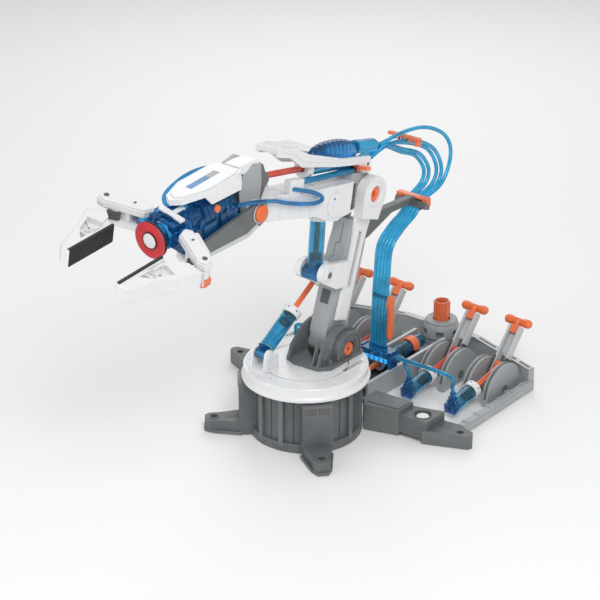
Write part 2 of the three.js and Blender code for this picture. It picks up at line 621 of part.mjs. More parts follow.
function assemble() {
  piece('base_drum', baseDrum(), 'dark');
  for (const [s, name] of [[1, 'left'], [-1, 'right']]) {
    piece(`console_front_${name}`, consoleFront(s), 'dark');
    piece(`console_side_${name}`, consoleSide(s), 'grey');
  }
  piece('centre_rails', centreRails(), 'grey');
  piece('knob_housing', knobHousing(), 'dark');
  piece('drive_knob', driveKnob(), 'orange');
  piece('hose_manifold', hoseManifold(), 'blue');
  piece('turn_cylinder', turnCylinder(), 'blue');
  piece('turn_rack', turnRack(), 'orange');
  LEVER_YS.forEach((y, i) => {
    const stick = frameAt(...LEVER_PIVOT, -LEVER_LEAN);
    stick.position.y = y;
    piece(`lever_${i + 1}`, lever(), 'grey', stick);
    piece(`lever_grip_${i + 1}`, leverGrip(), 'orange', stick);
    const line = frameAt(...LEVER_CYL_FRONT, LEVER_AIM);
    line.position.y = y;
    piece(`lever_cylinder_${i + 1}`, leverCylinder(), 'blue', line);
    piece(`lever_rod_${i + 1}`, rod(22, LEVER_ROD, 4.2), 'orange', line);
  });
  piece('turntable', turntable(), 'white');
  piece('shoulder_bracket', shoulderBracket(), 'dark');
  piece('shoulder_pin', shoulderPin(), 'orange');
  const lift = frameAt(...CYL_FOOT, aim(CYL_FOOT, CYL_LUG));
  lift.position.y = CYL_Y;
  piece('shoulder_cylinder', shoulderCylinder(), 'blue', lift);
  piece('shoulder_rod', rod(38, distance(CYL_FOOT, CYL_LUG), 3.4), 'orange', lift);
  const arm = frameAt(...SHOULDER, LOWER_AIM);
  piece('lower_arm', lowerArm(), 'grey', arm);
  piece('lower_cover_near', lowerCover(1), 'white', arm);
  piece('lower_cover_far', lowerCover(-1), 'white', arm);
  piece('front_bracket', frontBracket(), 'white', arm);
  piece('hose_bracket', hoseBracket(), 'dark', arm);
  const push = frameAt(...FRONT_PIN, aim(FRONT_PIN, CLEVIS));
  piece('elbow_cylinder', elbowCylinder(), 'blue', push);
  piece('elbow_rod', rod(13, distance(FRONT_PIN, CLEVIS), 4), 'orange', push);
  const fore = frameAt(...ELBOW, FORE_AIM);
  piece('forearm', forearm(), 'white', fore);
  piece('elbow_block', elbowBlock(), 'grey', fore);
  piece('elbow_pin', elbowPin(), 'orange', fore);
  piece('top_beam', topBeam(), 'white', fore);
  const reach = frameAt(...WRIST_CYL, aim(WRIST_CYL, WRIST_PIN), fore);
  piece('wrist_cylinder', wristCylinder(), 'blue', reach);
  piece('wrist_rod', rod(32, distance(WRIST_CYL, WRIST_PIN), 3), 'red', reach);
  const wrist = frameAt(...WRIST, HAND_PITCH);
  const pinAt = turnedInto([WRIST_PIN[0] - FORE_LEN, WRIST_PIN[1]], HAND_PITCH - FORE_AIM);
  piece('wrist_carrier', wristCarrier(pinAt), 'dark', wrist);
  piece('wrist_pin', wristPin(), 'orange', wrist);
  piece('rotation_housing', rotationHousing(), 'blue', wrist);
  piece('wrist_cover', wristCover(), 'white', wrist);
  const hand = new THREE.Group();
  hand.position.z = HAND_AXIS_Z;
  hand.rotation.x = HAND_ROLL * DEG;
  wrist.add(hand);
  piece('hand_body', handBody(), 'blue', hand);
  piece('suction_cup', suctionCup(), 'red', hand);
  for (const [s, name] of [[1, 'near'], [-1, 'far']]) {
    piece(`finger_link_${name}`, fingerLink(s), 'white', hand);
    piece(`jaw_${name}`, jaw(s), 'white', hand);
    piece(`jaw_pad_${name}`, pad(s), 'black', hand);
  }
  piece('hoses_elbow', hoses(LOOP, 16), 'blue');
  piece('hoses_shoulder', hoses(DROP, 10), 'blue');
  piece('hoses_base', hoses(TAIL, 6), 'blue');
}

assemble();

export default kit;
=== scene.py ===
"""Looks of the hydraulic arm kit: clear cylinders, water hoses, moulded plastics and rubber."""

import json
import math

import bmesh
import bpy
from mathutils import Matrix, Vector


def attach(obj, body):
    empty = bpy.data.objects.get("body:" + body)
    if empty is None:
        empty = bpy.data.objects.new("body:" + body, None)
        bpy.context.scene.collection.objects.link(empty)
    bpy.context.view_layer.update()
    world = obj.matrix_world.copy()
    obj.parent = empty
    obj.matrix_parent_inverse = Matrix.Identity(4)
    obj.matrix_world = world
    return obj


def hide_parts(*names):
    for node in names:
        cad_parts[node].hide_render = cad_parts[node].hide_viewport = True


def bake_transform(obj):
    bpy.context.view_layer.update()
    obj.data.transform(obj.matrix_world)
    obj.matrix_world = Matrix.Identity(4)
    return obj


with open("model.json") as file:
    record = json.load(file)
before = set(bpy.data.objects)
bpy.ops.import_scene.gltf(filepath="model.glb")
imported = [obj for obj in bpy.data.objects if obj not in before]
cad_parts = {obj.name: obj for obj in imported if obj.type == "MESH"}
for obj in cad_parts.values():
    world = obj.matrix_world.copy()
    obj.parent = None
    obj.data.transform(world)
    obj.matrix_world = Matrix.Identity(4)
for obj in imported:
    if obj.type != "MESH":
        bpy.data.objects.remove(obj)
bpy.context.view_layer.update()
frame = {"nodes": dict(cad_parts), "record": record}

MM = 0.001
DEG = math.pi / 180
ROUND = 40
EDGE_ANGLE = 35 * DEG


def plane_frame(x, z, turn, y=0):
    """Frame at (x, y, z) turned about Y, in millimetres."""
    return Matrix.Translation((x, y, z)) @ Matrix.Rotation(turn, 4, "Y")


def aim(start, end):
    return math.atan2(end[0] - start[0], end[1] - start[1])


HOLE_R = 3.5
SHOULDER = (-30, 81)
ELBOW = (-79, 223)
WRIST = (89, 257)
HAND_PITCH = 6 * DEG
HAND_ROLL = -16 * DEG
HAND_AXIS_Z = 20
ROW = Matrix.Identity(4)
ARM = plane_frame(*SHOULDER, aim(SHOULDER, ELBOW))
FORE = plane_frame(*ELBOW, aim(ELBOW, WRIST) - math.pi / 2)
WRIST_FRAME = plane_frame(*WRIST, HAND_PITCH)
HAND = WRIST_FRAME @ Matrix.Translation((0, 0, HAND_AXIS_Z)) @ Matrix.Rotation(HAND_ROLL, 4, "X")


# ---------------------------------------------------------------- materials
def new_material(name):
    m = bpy.data.materials.new(name)
    m.use_nodes = True
    return m, m.node_tree.nodes, m.node_tree.links


def noise(nodes, links, scale, detail=3, roughness=0.5):
    place = nodes.get("place") or nodes.new("ShaderNodeTexCoord")
    place.name = "place"
    n = nodes.new("ShaderNodeTexNoise")
    n.inputs["Scale"].default_value = scale
    n.inputs["Detail"].default_value = detail
    n.inputs["Roughness"].default_value = roughness
    links.new(place.outputs["Object"], n.inputs["Vector"])
    return n.outputs["Fac"]


def ramp(nodes, links, source, low, high, start=0.35, end=0.65):
    r = nodes.new("ShaderNodeMapRange")
    r.inputs["From Min"].default_value = start
    r.inputs["From Max"].default_value = end
    r.inputs["To Min"].default_value = low
    r.inputs["To Max"].default_value = high
    links.new(source, r.inputs["Value"])
    return r.outputs["Result"]


def mixed(nodes, links, fac, a, b):
    m = nodes.new("ShaderNodeMix")
    m.data_type = "RGBA"
    links.new(fac, m.inputs["Factor"])
    for socket, value in (("A", a), ("B", b)):
        target = [i for i in m.inputs if i.name == socket and i.type == "RGBA"][0]
        if isinstance(value, tuple):
            target.default_value = (*value, 1)
        else:
            links.new(value, target)
    return [o for o in m.outputs if o.type == "RGBA"][0]


def plastic(name, colour, rough, grain=2600, depth=0.00002, wear=0.35, tint=0.07, sheen=0.0):
    """Moulded plastic: cloudy colour, fine spark-eroded grain, uneven gloss and rubbed edges."""
    m, nodes, links = new_material(name)
    shader = nodes["Principled BSDF"]
    dark = tuple(c * (1 - tint) for c in colour)
    light = tuple(min(1, c * (1 + tint)) for c in colour)
    clouds = ramp(nodes, links, noise(nodes, links, 45, 4), 0, 1)
    body = mixed(nodes, links, clouds, dark, light)
    edge = nodes.new("ShaderNodeNewGeometry").outputs["Pointiness"]
    rubbed = ramp(nodes, links, edge, 0, wear, 0.52, 0.62)
    pale = tuple(min(1, c * 0.72 + 0.26) for c in colour)
    links.new(mixed(nodes, links, rubbed, body, pale), shader.inputs["Base Color"])
    gloss = ramp(nodes, links, noise(nodes, links, 130, 5, 0.6), rough - 0.06, rough + 0.08)
    links.new(gloss, shader.inputs["Roughness"])
    bump = nodes.new("ShaderNodeBump")
    bump.inputs["Distance"].default_value = depth
    bump.inputs["Strength"].default_value = 0.55
    links.new(noise(nodes, links, grain, 2), bump.inputs["Height"])
    links.new(bump.outputs["Normal"], shader.inputs["Normal"])
    shader.inputs["Coat Weight"].default_value = sheen
    shader.inputs["Coat Roughness"].default_value = 0.12
    return m


def clear(name, colour, transmission, rough=0.06):
    """Clear tinted plastic with faint flow marks."""
    m, nodes, links = new_material(name)
    shader = nodes["Principled BSDF"]
    deep = tuple(c * 0.72 for c in colour)
    marks = ramp(nodes, links, noise(nodes, links, 70, 3), 0, 1)
    links.new(mixed(nodes, links, marks, deep, colour), shader.inputs["Base Color"])
    links.new(ramp(nodes, links, noise(nodes, links, 180, 3), rough, rough + 0.09),
              shader.inputs["Roughness"])
    shader.inputs["Transmission Weight"].default_value = transmission
    shader.inputs["IOR"].default_value = 1.47
    bump = nodes.new("ShaderNodeBump")
    bump.inputs["Distance"].default_value = 0.0001
    bump.inputs["Strength"].default_value = 0.35
    links.new(noise(nodes, links, 240, 2), bump.inputs["Height"])
    links.new(bump.outputs["Normal"], shader.inputs["Normal"])
    return m


MATERIALS = {
    "white_plastic": plastic("white_plastic", (0.80, 0.81, 0.82), 0.30, wear=0.15, tint=0.012, sheen=0.25),
    "grey_plastic": plastic("grey_plastic", (0.36, 0.38, 0.39), 0.42, tint=0.06),
    "dark_plastic": plastic("dark_plastic", (0.115, 0.125, 0.13), 0.46, depth=0.00003, tint=0.12),
    "orange_plastic": plastic("orange_plastic", (0.86, 0.155, 0.03), 0.34, tint=0.09, sheen=0.2),
    "red_plastic": plastic("red_plastic", (0.70, 0.05, 0.02), 0.36, tint=0.1, sheen=0.2),
    "red_rubber": plastic("red_rubber", (0.66, 0.018, 0.03), 0.48, grain=1400, tint=0.1, wear=0.15),
    "black_rubber": plastic("black_rubber", (0.018, 0.019, 0.02), 0.62, grain=900, depth=0.00006, tint=0.2,
                            wear=0.12),
    "clear_blue": clear("clear_blue", (0.04, 0.40, 0.86), 0.85),
    "hose_blue": clear("hose_blue", (0.05, 0.55, 0.92), 0.7, 0.1),
}
# Finishes that share a record slot with one of the above.
# DARK_GREY is the near-black of seams and dark parts, and also serves as painted shade in holes, slots and
# gaps.
DARK_GREY = plastic("deep_grey_plastic", (0.045, 0.048, 0.052), 0.5, tint=0.15, wear=0.25)
LIGHT_GREY = plastic("light_grey_plastic", (0.55, 0.57, 0.58), 0.36, tint=0.04)
PALE = plastic("pale_label_plastic", (0.88, 0.88, 0.87), 0.5, tint=0.03)
BARREL = clear("barrel_blue", (0.16, 0.66, 0.93), 0.94, 0.03)
FINISHES = {
    "deep_grey": (DARK_GREY, "dark_plastic"),
    "light_grey": (LIGHT_GREY, "grey_plastic"),
    "pale": (PALE, "white_plastic"),
    "barrel": (BARREL, "clear_blue"),
    **{name: (m, name) for name, m in MATERIALS.items()},
}


# ---------------------------------------------------------------- mesh helpers
class Form:
    """A mesh under construction, in millimetres, in the frame it is later placed in."""

    def __init__(self):
        self.bm = bmesh.new()

    def rings(self, rings, closed=False):
        """Skin over rings of points, capped at both ends or joined into a loop."""
        rows = [[self.bm.verts.new(p) for p in ring] for ring in rings]
        count = len(rows[0])
        pairs = list(zip(rows, rows[1:]))
        if closed:
            pairs.append((rows[-1], rows[0]))
        for a, b in pairs:
            for i in range(count):
                j = (i + 1) % count
                self.bm.faces.new((a[i], a[j], b[j], b[i]))
        if not closed:
            self.bm.faces.new(list(reversed(rows[0])))
            self.bm.faces.new(rows[-1])
        return self

    def box(self, x0, x1, y0, y1, z0, z1):
        low, high = [[(x, y, z) for x, y in ((x0, y0), (x1, y0), (x1, y1), (x0, y1))] for z in (z0, z1)]
        return self.rings([low, high])

    def turned(self, profile, base=(0, 0, 0), axis=(0, 0, 1), sides=ROUND, closed=False):
        """Turned shape from [radius, height] pairs along an axis."""
        turn = Vector((0, 0, 1)).rotation_difference(Vector(axis)).to_matrix()
        rings = []
        for r, h in profile:
            ring = [(r * math.cos(i * 2 * math.pi / sides), r * math.sin(i * 2 * math.pi / sides), h)
                    for i in range(sides)]
            rings.append([turn @ Vector(p) + Vector(base) for p in ring])
        return self.rings(rings, closed=closed)

    def rod(self, r, start, end, sides=24, chamfer=0.0):
        axis = Vector(end) - Vector(start)
        c = chamfer
        profile = [(r, 0), (r, axis.length)]
        if c:
            profile = [(r - c, 0), (r, c), (r, axis.length - c), (r - c, axis.length)]
        return self.turned(profile, start, axis.normalized(), sides)

    def prism(self, points, low, high, plane="XY"):
        """Flat outline raised along the third axis."""
        def at(p, h):
            return (p[0], p[1], h) if plane == "XY" else (p[0], h, p[1])
        return self.rings([[at(p, low) for p in points], [at(p, high) for p in points]])

    def tube(self, path, r, sides=12, per=6):
        """Round tube along a smooth curve through the points."""
        line = smooth(path, per)
        rings = []
        up = Vector((0, 1, 0))
        for i, p in enumerate(line):
            way = (line[min(i + 1, len(line) - 1)] - line[max(i - 1, 0)]).normalized()
            side = way.cross(up)
            if side.length < 0.2:
                up = Vector((0, 0, 1))
                side = way.cross(up)
            side.normalize()
            up = side.cross(way).normalized()
            rings.append([p + side * r * math.cos(a * 2 * math.pi / sides)
                          + up * r * math.sin(a * 2 * math.pi / sides) for a in range(sides)])
        return self.rings(rings)

    def made(self, name, finish, body, place=ROW, bevel=0.35, stands_for=(), ride=True):
        """Makes the form a piece, in metres, with its finish, body and the nodes it stands for."""
        bmesh.ops.recalc_face_normals(self.bm, faces=self.bm.faces)
        mesh = bpy.data.meshes.new(name)
        self.bm.transform(Matrix.Scale(MM, 4) @ place)
        self.bm.to_mesh(mesh)
        self.bm.free()
        piece = bpy.data.objects.new(name, mesh)
        bpy.context.scene.collection.objects.link(piece)
        material, slot = FINISHES[finish]
        mesh.materials.append(material)
        soften(piece, bevel * MM)
        if ride:
            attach(piece, body)
        if stands_for:
            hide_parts(*stands_for)
        return piece


def smooth(path, per):
    """Points of a Catmull-Rom curve through the path, per points a span."""
    pts = [Vector(p) for p in path]
    pts = [2 * pts[0] - pts[1], *pts, 2 * pts[-1] - pts[-2]]
    line = []
    for a, b, c, d in zip(pts, pts[1:], pts[2:], pts[3:]):
        for i in range(per):
            t = i / per
            line.append(0.5 * (2 * b + (c - a) * t + (2 * a - 5 * b + 4 * c - d) * t * t
                               + (3 * b - a - 3 * c + d) * t ** 3))
    return [*line, pts[-2]]


def arc(x, z, r, start, end, steps=10):
    return [(x + r * math.cos((start + (end - start) * i / steps) * DEG),
             z + r * math.sin((start + (end - start) * i / steps) * DEG)) for i in range(steps + 1)]


def soften(piece, width):
    """Rounds the hard edges and smooths the rest."""
    for face in piece.data.polygons:
        face.use_smooth = True
    if width > 0:
        bevel = piece.modifiers.new("edges", "BEVEL")
        bevel.width = width
        bevel.segments = 2
        bevel.limit_method = "ANGLE"
        bevel.angle_limit = EDGE_ANGLE
        bevel.use_clamp_overlap = True
        bevel.harden_normals = False
    normals = piece.modifiers.new("normals", "WEIGHTED_NORMAL")
    normals.keep_sharp = True


# ---------------------------------------------------------------- CAD nodes that stay
SLOT_OF = {row["node"]: row["material_slot"] for row in frame["record"]["subparts"]}


def finish_node(node):
    """A CAD node gets its material, welded corners, flat faces made whole, and rounded edges."""
    piece = frame["nodes"][node]
    piece.data.materials.clear()
    piece.data.materials.append(MATERIALS[SLOT_OF[node]])
    weld = piece.modifiers.new("weld", "WELD")
    weld.merge_threshold = 0.00001
    flat = piece.modifiers.new("flat", "DECIMATE")
    flat.decimate_type = "DISSOLVE"
    flat.angle_limit = 1.5 * DEG
    soften(piece, 0.5 * MM)


for node in frame["nodes"]:
    finish_node(node)


# ---------------------------------------------------------------- sizes in millimetres, close to the part's
CYL_R = 7.5
BORE_R = 6.3
ROD_R = 2.9
LEVER_YS = (-100, -47, 47, 100)
LEVER_PIVOT = (-172, 8)
LEVER_LEAN = -40 * DEG
LEVER_LEN = 66
LEVER_CYL_FRONT = (-104, 11.5)
LEVER_EYE_UP = 22
LEVER_EYE = (LEVER_PIVOT[0] + LEVER_EYE_UP * math.sin(LEVER_LEAN),
             LEVER_PIVOT[1] + LEVER_EYE_UP * math.cos(LEVER_LEAN))
CYL_FOOT = (36, 85)
CYL_LUG = (-44, 135)
CYL_Y = -24
FRONT_PIN = (-13, 161)
CLEVIS = (-20, 232)
WRIST_CYL = (12, 31)
WRIST_PIN = (157, 26.5)
TURN_CYL = (-6, 18)
TURN_CYL_BACK = -196
KNOB_X = -226
CHEEK_R = 30.35
DRUM_R = 51.9
PILLAR_TURN = 48.5
FOOT_HOLE_X = 89
FORE_SIDE = 16.4
BEAM_SIDE = 13.4
SHELL_SIDE = 9.1
TROUGH_SIDE = 20.8
LINK_IN = (98, 24)
LINK_OUT = (113.3, 56)
JAW_BOSS = (150, 40.5)
HOSE_R = 2.0
HOSE_YS = (-8, -4, 0, 4, 8)
PITCH = 4


def gap(start, end):
    return math.dist(start, end)


# ---------------------------------------------------------------- clear cylinders
def add_cylinder(name, place, barrel_body, rod_body, span, piston, top, eye_half, nodes, rod_finish):
    """One water cylinder: clear barrel, slotted collar, ribbed rod, two-lipped piston and rod eye."""
    low, high, gland = span
    barrel = Form().turned([(CYL_R - 0.5, low - 4), (CYL_R, low - 3.4), (CYL_R, high - 0.2),
                            (BORE_R, high - 0.2), (BORE_R, low)])
    barrel.made(name + "_barrel", "barrel", barrel_body, place, 0.2, [nodes[0]])
    collar = Form().turned([(3.5, gland), (8.3, gland), (9.1, gland - 0.7), (9.1, high - 2.6),
                            (8.6, high - 3), (CYL_R + 0.08, high - 3), (CYL_R + 0.08, high), (3.5, high)],
                           closed=True)
    collar.made(name + "_collar", "white_plastic", barrel_body, place, 0.15)
    # Near-black dots at the collar's slots: painted shade inside the slots.
    slots = Form()
    for i in range(6):
        a = i * math.pi / 3
        x, y = math.cos(a), math.sin(a)
        z = (high + gland) / 2 - 1
        slots.rod(0.9, (8.4 * x, 8.4 * y, z), (9.16 * x, 9.16 * y, z), 10)
    slots.made(name + "_slots", "deep_grey", barrel_body, place, 0)
    rod = Form()
    rod.box(-ROD_R, ROD_R, -0.9, 0.9, piston + 3, top)
    rod.box(-0.9, 0.9, -ROD_R + 0.1, ROD_R - 0.1, piston + 3, top)
    rod.rod(1.9, (0, 0, piston + 3), (0, 0, top), 16)
    rod.rod(4.6, (0, -eye_half, top), (0, eye_half, top), 28, 0.5)
    rod.made(name + "_rod", rod_finish, rod_body, place, 0.25, [nodes[1]])
    lip = BORE_R - 0.25
    head = Form().turned([(2, piston - 1), (lip - 0.4, piston - 1), (lip, piston - 0.4),
                          (lip - 0.9, piston + 0.4), (lip - 0.9, piston + 2.2), (lip, piston + 3),
                          (lip - 0.6, piston + 3.8), (2, piston + 4)])
    head.made(name + "_piston", "black_rubber", rod_body, place, 0)
    # Near-black discs at both ends of the rod eye: painted shade in the eye's bore.
    bore = Form()
    for s in (-1, 1):
        bore.rod(2.1, (0, s * eye_half, top), (0, s * (eye_half + 0.06), top), 20)
    bore.made(name + "_eye_bore_shade", "deep_grey", rod_body, place, 0)


def add_lever_cylinders():
    reach = gap(LEVER_CYL_FRONT, LEVER_EYE)
    turn = aim(LEVER_CYL_FRONT, LEVER_EYE)
    for i, y in enumerate(LEVER_YS, 1):
        place = plane_frame(*LEVER_CYL_FRONT, turn, y)
        nodes = (f"lever_cylinder_{i}", f"lever_rod_{i}")
        finish = "orange_plastic" if i == 4 else "red_plastic"
        add_cylinder(f"lever_water_{i}", place, "base", f"lever_piston_{i}", (4, 33, 38), 22, reach, 4.2,
                     nodes, finish)
        foot = Form().box(-5, 5, -6, 6, -5, 0.5)
        foot.box(-3.6, 3.6, -7, 7, -3.4, -0.6)
        foot.rod(3.4, (0, 0, -1), (8, 0, -1))
        foot.rod(2.6, (3, 0, -1), (13, 0, -1))
        foot.box(8, 9.4, -3.4, 3.4, -4, 2)
        foot.rod(1.4, (0, 0, -5), (0, 0, -7))
        foot.made(f"lever_water_foot_{i}", "clear_blue", "base", place, 0.4)


def add_arm_cylinders():
    place = plane_frame(*CYL_FOOT, aim(CYL_FOOT, CYL_LUG), CYL_Y)
    add_cylinder("shoulder_water", place, "shoulder_barrel", "shoulder_piston", (10, 51, 56), 38,
                 gap(CYL_FOOT, CYL_LUG), 3.4, ("shoulder_cylinder", "shoulder_rod"), "orange_plastic")
    foot = Form().rod(5, (0, -6.2, 0), (0, 6.2, 0), 28, 0.5)
    foot.box(-4, 4, -6, 6, 0, 7)
    foot.box(-6.2, 6.2, -6.2, 6.2, 5.4, 7)
    foot.rod(2, (3, 0, 4), (9, 0, 4))
    foot.made("shoulder_water_foot", "clear_blue", "shoulder_barrel", place, 0.5)
    place = plane_frame(*FRONT_PIN, aim(FRONT_PIN, CLEVIS))
    add_cylinder("elbow_water", place, "elbow_barrel", "elbow_piston", (7, 54, 57.5), 13,
                 gap(FRONT_PIN, CLEVIS), 4, ("elbow_cylinder", "elbow_rod"), "orange_plastic")
    foot = Form().box(-8, 8, -9.6, 9.6, -7, 3.2)
    foot.box(-6.5, 6.5, -8, 8, 3, 6)
    foot.rod(3.2, (0, -9.9, 0), (0, 9.9, 0))
    foot.made("elbow_water_foot", "clear_blue", "elbow_barrel", place, 0.9)
    cap = Form().box(-4.5, 4.5, -5, 5, 57.4, 58.4).rod(5.4, (0, 0, 57.3), (0, 0, 58.1))
    cap.made("elbow_water_cap", "white_plastic", "elbow_barrel", place, 0.4)
    place = FORE @ plane_frame(*WRIST_CYL, aim(WRIST_CYL, WRIST_PIN))
    add_cylinder("wrist_water", place, "forearm_body", "wrist_piston", (10, 76, 81), 32,
                 gap(WRIST_CYL, WRIST_PIN), 3, ("wrist_cylinder", "wrist_rod"), "red_plastic")


def add_turn_cylinder():
    y, z = TURN_CYL
    place = Matrix.Translation((TURN_CYL_BACK, y, z)) @ Matrix.Rotation(math.pi / 2, 4, "Y")
    tube = Form().turned([(CYL_R - 0.4, 0), (CYL_R, 0.5), (CYL_R, 70), (BORE_R, 70), (BORE_R, 4)])
    tube.made("turn_water_barrel", "barrel", "base", place, 0.2, ["turn_cylinder"])
    cap = Form().turned([(3.5, 71.8), (CYL_R, 71.8), (CYL_R, 70.1), (3.5, 70.1)], closed=True)
    cap.made("turn_water_cap", "white_plastic", "base", place, 0.2)
    clamp = Form()
    inner, outer = CYL_R + 0.1, CYL_R + 2
    rings = []
    for a in range(13):
        c, s = math.cos(a * 15 * DEG), math.sin(a * 15 * DEG)
        rings.append([(-184, y + inner * c, z + inner * s), (-184, y + outer * c, z + outer * s),
                      (-174, y + outer * c, z + outer * s), (-174, y + inner * c, z + inner * s)])
    clamp.rings(rings)
    for s in (-1, 1):
        clamp.box(-183, -175, y + s * 8.6 - 1.4, y + s * 8.6 + 1.4, z - 2.4, z + 0.4)
    clamp.made("turn_water_clamp", "orange_plastic", "base", ROW, 0.5)


# ---------------------------------------------------------------- hoses
LOOP = ((-62, 247.5), (-84, 250), (-120, 257), (-160, 250), (-196, 232), (-212, 206), (-202, 190),
        (-172, 184.5))
LOOP_TUCK = (0, 0, 0.35, 0.8, 1, 1, 0.6, 0)
LOOP_CENTRE = (-150, 215)
DROP = ((-168, 178), (-160, 170.5), (-141, 162), (-124, 148), (-120, 120), (-118, 97.2))
TAIL = ((-118, 97), (-117, 76), (-116, 58), (-116, 43))
BIG_LOOP = ((-105, 258), (-118, 260), (-145, 262), (-172, 260), (-195, 252.5), (-214, 240), (-222, 224),
            (-217, 206), (-203, 191), (-172, 184.5))
TUCKS = {-8: 17, -4: 13, 0: 4, 4: 0}


def metres(x, y, z):
    return Vector((x, y, z)) * MM


def add_bent_hose(name, path, a, start, end, stands_for=(), finish="hose_blue"):
    """One hose along the path from body a to body b, a fixed mesh that rides on neither body and does not
    bend between start and end.
    """
    hose = Form().tube(path, HOSE_R, 14, 7)
    piece = hose.made(name, finish, a, ROW, 0, stands_for, ride=False)
    metres(*start)
    metres(*end)
    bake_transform(piece)
    return piece


def add_hoses():
    for i, y in enumerate(HOSE_YS):
        if y in TUCKS:
            route = []
            for (x, z), tuck in zip(LOOP, LOOP_TUCK):
                way = Vector((LOOP_CENTRE[0] - x, LOOP_CENTRE[1] - z)).normalized() * tuck * TUCKS[y]
                route.append((x + way.x, y * (1 - 0.15 * tuck), z + way.y))
            add_bent_hose(f"loop_hose_{i + 1}", route, "forearm_body", (-84, 0, 250),
                          (-196, 0, 210), ["hoses_elbow"])
        else:
            route = [(x, y * min(1, k / 7), z) for k, (x, z) in enumerate(BIG_LOOP)]
            add_bent_hose("long_loop_hose", route, "forearm_body", (-112, 0, 258),
                          (-205, 0, 205))
        drop = [(x, y, z + (0.8 if k else 0)) for k, (x, z) in enumerate(DROP)]
        add_bent_hose(f"drop_hose_{i + 1}", drop, "lower_arm_body", (-162, 0, 172),
                      (-118, 0, 100), ["hoses_shoulder"])
        tail = [(x, y, z) for x, z in TAIL]
        add_bent_hose(f"tail_hose_{i + 1}", tail, "turntable_body", (-118, 0, 97), (-116, 0, 43),
                      ["hoses_base"])


def comb(form, half, thick, deep):
    """Orange clip bar across the hoses, with short teeth between them."""
    form.box(-deep / 2, deep / 2, -half, half, 0, thick)
    for k in range(-2, 4):
        y = k * PITCH - 2
        form.box(0.8 - deep / 2, deep / 2 - 0.8, y - 0.5, y + 0.5, -3.4, 0)
    return form


def add_combs():
    elbow = comb(Form(), 21, 3.4, 7)
    elbow.made("elbow_comb", "orange_plastic", "forearm_body", FORE @ plane_frame(17, 24.4, 0), 0.8)
    top = comb(Form(), 18.5, 3.2, 6).box(-4, 4, 15, 18.5, -5, 0)
    piece = top.made("loop_comb", "orange_plastic", "lower_arm_body", plane_frame(-152, 254.5, -10 * DEG),
                     0.8, ride=False)
    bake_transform(piece)
    x, z = -170, 185
    low = Form().box(x - 3.6, x + 3.6, -19, 19, z + 2.2, z + 5)
    low.box(x - 3.6, x + 3.6, -19, -12, z - 4, z + 2.4)
    low.box(x - 3.6, x + 3.6, 12, 19, z - 4, z + 2.4)
    low.made("bracket_comb", "orange_plastic", "lower_arm_body", ROW, 0.9)
    teeth = Form()
    for k in range(6):
        y = -10 + PITCH * k
        teeth.box(x - 3, x + 3, y - 0.45, y + 0.45, z - 9, z + 2)
    teeth.made("bracket_comb_teeth", "deep_grey", "lower_arm_body", ROW, 0.1)
    guide = Form().prism([(-121.5, 100), (-122.5, 97), (-121, 60), (-119.5, 54), (-116, 53), (-113.5, 57),
                          (-114.5, 84), (-112, 92), (-113.5, 100), (-117, 102)], 11, 15, "XZ")
    guide.rod(2.6, (-117.5, 10, 96), (-117.5, 15.4, 96)).rod(2.4, (-116.6, 10, 58), (-116.6, 15.4, 58))
    guide.made("hose_guide", "orange_plastic", "turntable_body", ROW, 0.9)


def add_manifold():
    body = Form().box(-124, -108, -17, 17, 30, 41)
    body.box(-122, -110, -19.6, -16, 23.6, 42)
    body.box(-122, -110, 16, 19.6, 23.6, 42)
    for y in HOSE_YS:
        body.rod(2.9, (-116, y, 40), (-116, y, 45.5), 16)
    for k in range(5):
        body.box(-124.4, -123.6, -13 + 6 * k, -11 + 6 * k, 31, 40)
    body.made("hose_splitter", "clear_blue", "base", ROW, 0.6, ["hose_manifold"])
    for i, y in enumerate(LEVER_YS, 1):
        s = math.copysign(1, y)
        far = 1 if abs(y) > 80 else 0
        path = [(-120 + far * 8, s * 17, 36), (-119 + far * 8, s * 24, 37.5),
                (-112 + far * 6, s * 34, 40 + far * 3), (-107, y - s * 7, 38 + far * 4),
                (-105.5, y - s * 1.5, 32), (-105, y, 25.5)]
        Form().tube(path, HOSE_R, 14, 8).made(f"lever_hose_{i}", "hose_blue", "base", ROW, 0)
        nut = Form().rod(3, (-105, y, 20), (-105, y, 27.5), 20, 0.5)
        nut.box(-109, -101, y - 2.6, y + 2.6, 19, 22)
        nut.made(f"lever_hose_nut_{i}", "clear_blue", "base", ROW, 0.4)


# ---------------------------------------------------------------- console
def add_lever_details():
    for i, y in enumerate(LEVER_YS, 1):
        place = plane_frame(*LEVER_PIVOT, LEVER_LEAN, y)
        body = f"lever_body_{i}"
        lobes = [(0.6, -15.4), (2.8, -15), (4.3, -13), (4.7, -10.2), (4.4, -7.4), (3.7, -4.4), (3.4, 0),
                 (3.7, 4.4), (4.4, 7.4), (4.7, 10.2), (4.3, 13), (2.8, 15), (0.6, 15.4)]
        grip = Form().turned(lobes, (0, 0, LEVER_LEN + 5), (0, 1, 0), 28)
        grip.turned([(2.6, 0), (3.4, 5), (4.2, 9), (3.2, 12)], (0.4, 0, LEVER_LEN - 4), sides=28)
        grip.box(-1.8, 3.2, -4.2, 4.2, LEVER_LEN - 8, LEVER_LEN + 1)
        grip.made(f"lever_tee_{i}", "orange_plastic", body, place, 0.3, [f"lever_grip_{i}"])
        # Dark plates beside the lever where it sits between the cheeks: painted shade of the gap between
        # lever and cheeks.
        socket = Form()
        for low, high in ((-7.5, -5.4), (5.4, 7.5)):
            socket.prism([(-5.6, 10), (5.8, 10), (6, 27), (4.6, 31), (-5.6, 31)], low, high, "XZ")
        socket.made(f"lever_slot_shade_{i}", "deep_grey", body, place, 0.5)
        frame["nodes"][f"lever_{i}"].data.materials[0] = LIGHT_GREY


